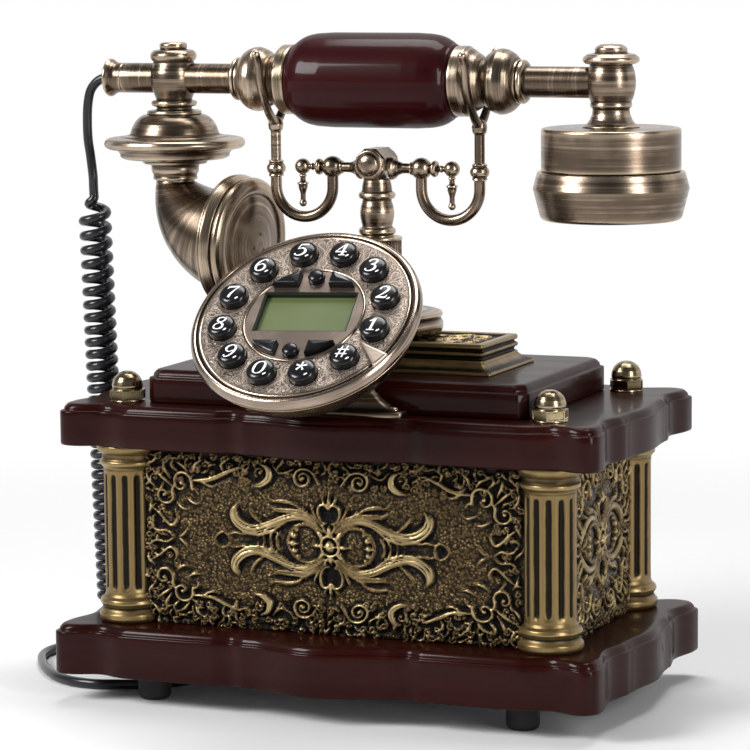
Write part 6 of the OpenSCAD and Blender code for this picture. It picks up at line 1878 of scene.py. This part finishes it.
# ---------------------------------------------------------------- insides and carried-over parts
def dress_carried_parts():
    """Finishes of the nodes that no piece replaces."""
    for material, nodes in (
            (STEEL, ("bottom_cover", "tie_rods", "mic_capsule")),
            (BOARD_GREEN, ("main_board", "keypad_board")),
            (DARK_PLASTIC_AND_HOLE_SHADE, ("hook_switch", "ringer", "line_jack", "cord_socket", "receiver_driver"))):
        for node in nodes:
            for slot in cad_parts[node].material_slots:
                slot.material = material


# ---------------------------------------------------------------- floor, backdrop and light
# Metres from here on.
GLOW_FROM, GLOW_FULL = 0.30, 0.75
FLOOR_HALF_W, FLOOR_FRONT, BEND_Y, BEND_R, WALL_TOP = 8.0, -8.0, 1.2, 0.8, 3.0
FLOOR_Z = -0.0002


def stage_finish():
    """A pale floor that glows white away from the part, for the rays that look at it."""
    f = Finish("pale floor", Roughness=0.9)
    place = f.place()
    cloud = f.noise(place, 3.0, 2.0)
    f.feed("Base Color", f.mix(cloud, (0.74, 0.74, 0.745), (0.77, 0.77, 0.775)))
    glow = f.node("ShaderNodeEmission", inputs={"Color": (1, 1, 1, 1), "Strength": 1.0})
    rays = [f.node("ShaderNodeLightPath", output="Is %s Ray" % r)
            for r in ("Camera", "Glossy", "Transmission")]
    away = f.node("ShaderNodeVectorMath", {"operation": "LENGTH"}, {0: place}, "Value")
    share = (rays[0] + rays[1] + rays[2]).clamp() * f.ramp(away, GLOW_FROM, GLOW_FULL)
    mixed = f.tree.nodes.new("ShaderNodeMixShader")
    surface = f.tree.nodes["Material Output"].inputs["Surface"]
    for source, socket in ((share.socket, mixed.inputs[0]), (f.shader.outputs[0], mixed.inputs[1]),
                           (glow.socket, mixed.inputs[2]), (mixed.outputs[0], surface)):
        f.tree.links.new(source, socket)
    return f.material


def make_stage():
    """A floor that curves up into a wall behind the part."""
    rows = [(FLOOR_FRONT, 0.0), (BEND_Y, 0.0)]
    rows += [(BEND_Y + BEND_R * math.sin(a), BEND_R - BEND_R * math.cos(a))
             for a in np.radians(range(6, 91, 6))]
    rows += [(BEND_Y + BEND_R, WALL_TOP)]
    points = [(x, y, z + FLOOR_Z) for y, z in rows for x in (-FLOOR_HALF_W, FLOOR_HALF_W)]
    faces = [(2 * i, 2 * i + 1, 2 * i + 3, 2 * i + 2) for i in range(len(rows) - 1)]
    mesh = bpy.data.meshes.new("backdrop")
    mesh.from_pydata(points, [], faces)
    mesh.shade_smooth()
    mesh.materials.append(stage_finish())
    floor = linked("backdrop", mesh)


LIGHTS = (("key_box", (-0.8, -0.85, 0.85), 0.14, (0.55, 0.55), 19),
          ("fill_box", (1.15, -0.6, 0.5), 0.14, (0.3, 0.8), 9),
          ("top_box", (0.0, 0.3, 1.25), 0.15, (0.9, 0.5), 12))
WORLD_STRENGTH = 0.16


def make_lights():
    """A dim even world, and soft boxes that face the middle of the part."""
    world = bpy.data.worlds.new("studio")
    world.use_nodes = True
    background = world.node_tree.nodes["Background"]
    background.inputs["Color"].default_value = (1, 1, 1, 1)
    background.inputs["Strength"].default_value = WORLD_STRENGTH
    bpy.context.scene.world = world
    for name, at, aim_z, size, power in LIGHTS:
        data = bpy.data.lights.new(name, "AREA")
        data.shape, data.size, data.size_y = "RECTANGLE", size[0], size[1]
        data.energy = power
        lamp = linked(name, data)
        lamp.location = at
        facing = Vector((0, 0, aim_z)) - Vector(at)
        lamp.rotation_euler = facing.to_track_quat("-Z", "Y").to_euler()


make_boards()
make_tier()
make_body()
make_columns()
make_nuts()
make_feet()
make_pedestal()
make_pedestal_relief()
make_guide()
make_spring()
make_stem()
make_hub()
make_hooks()
make_grip()
make_arms()
make_transmitter()
make_horn()
make_receiver()
make_dial_face()
make_dial_rings()
make_bowl()
make_dial_foot()
make_finger_stop()
make_display()
make_round_keys()
make_small_keys()
make_leaf_keys()
dress_carried_parts()
make_stage()
make_lights()

bpy.context.scene.view_settings.view_transform = "Standard"
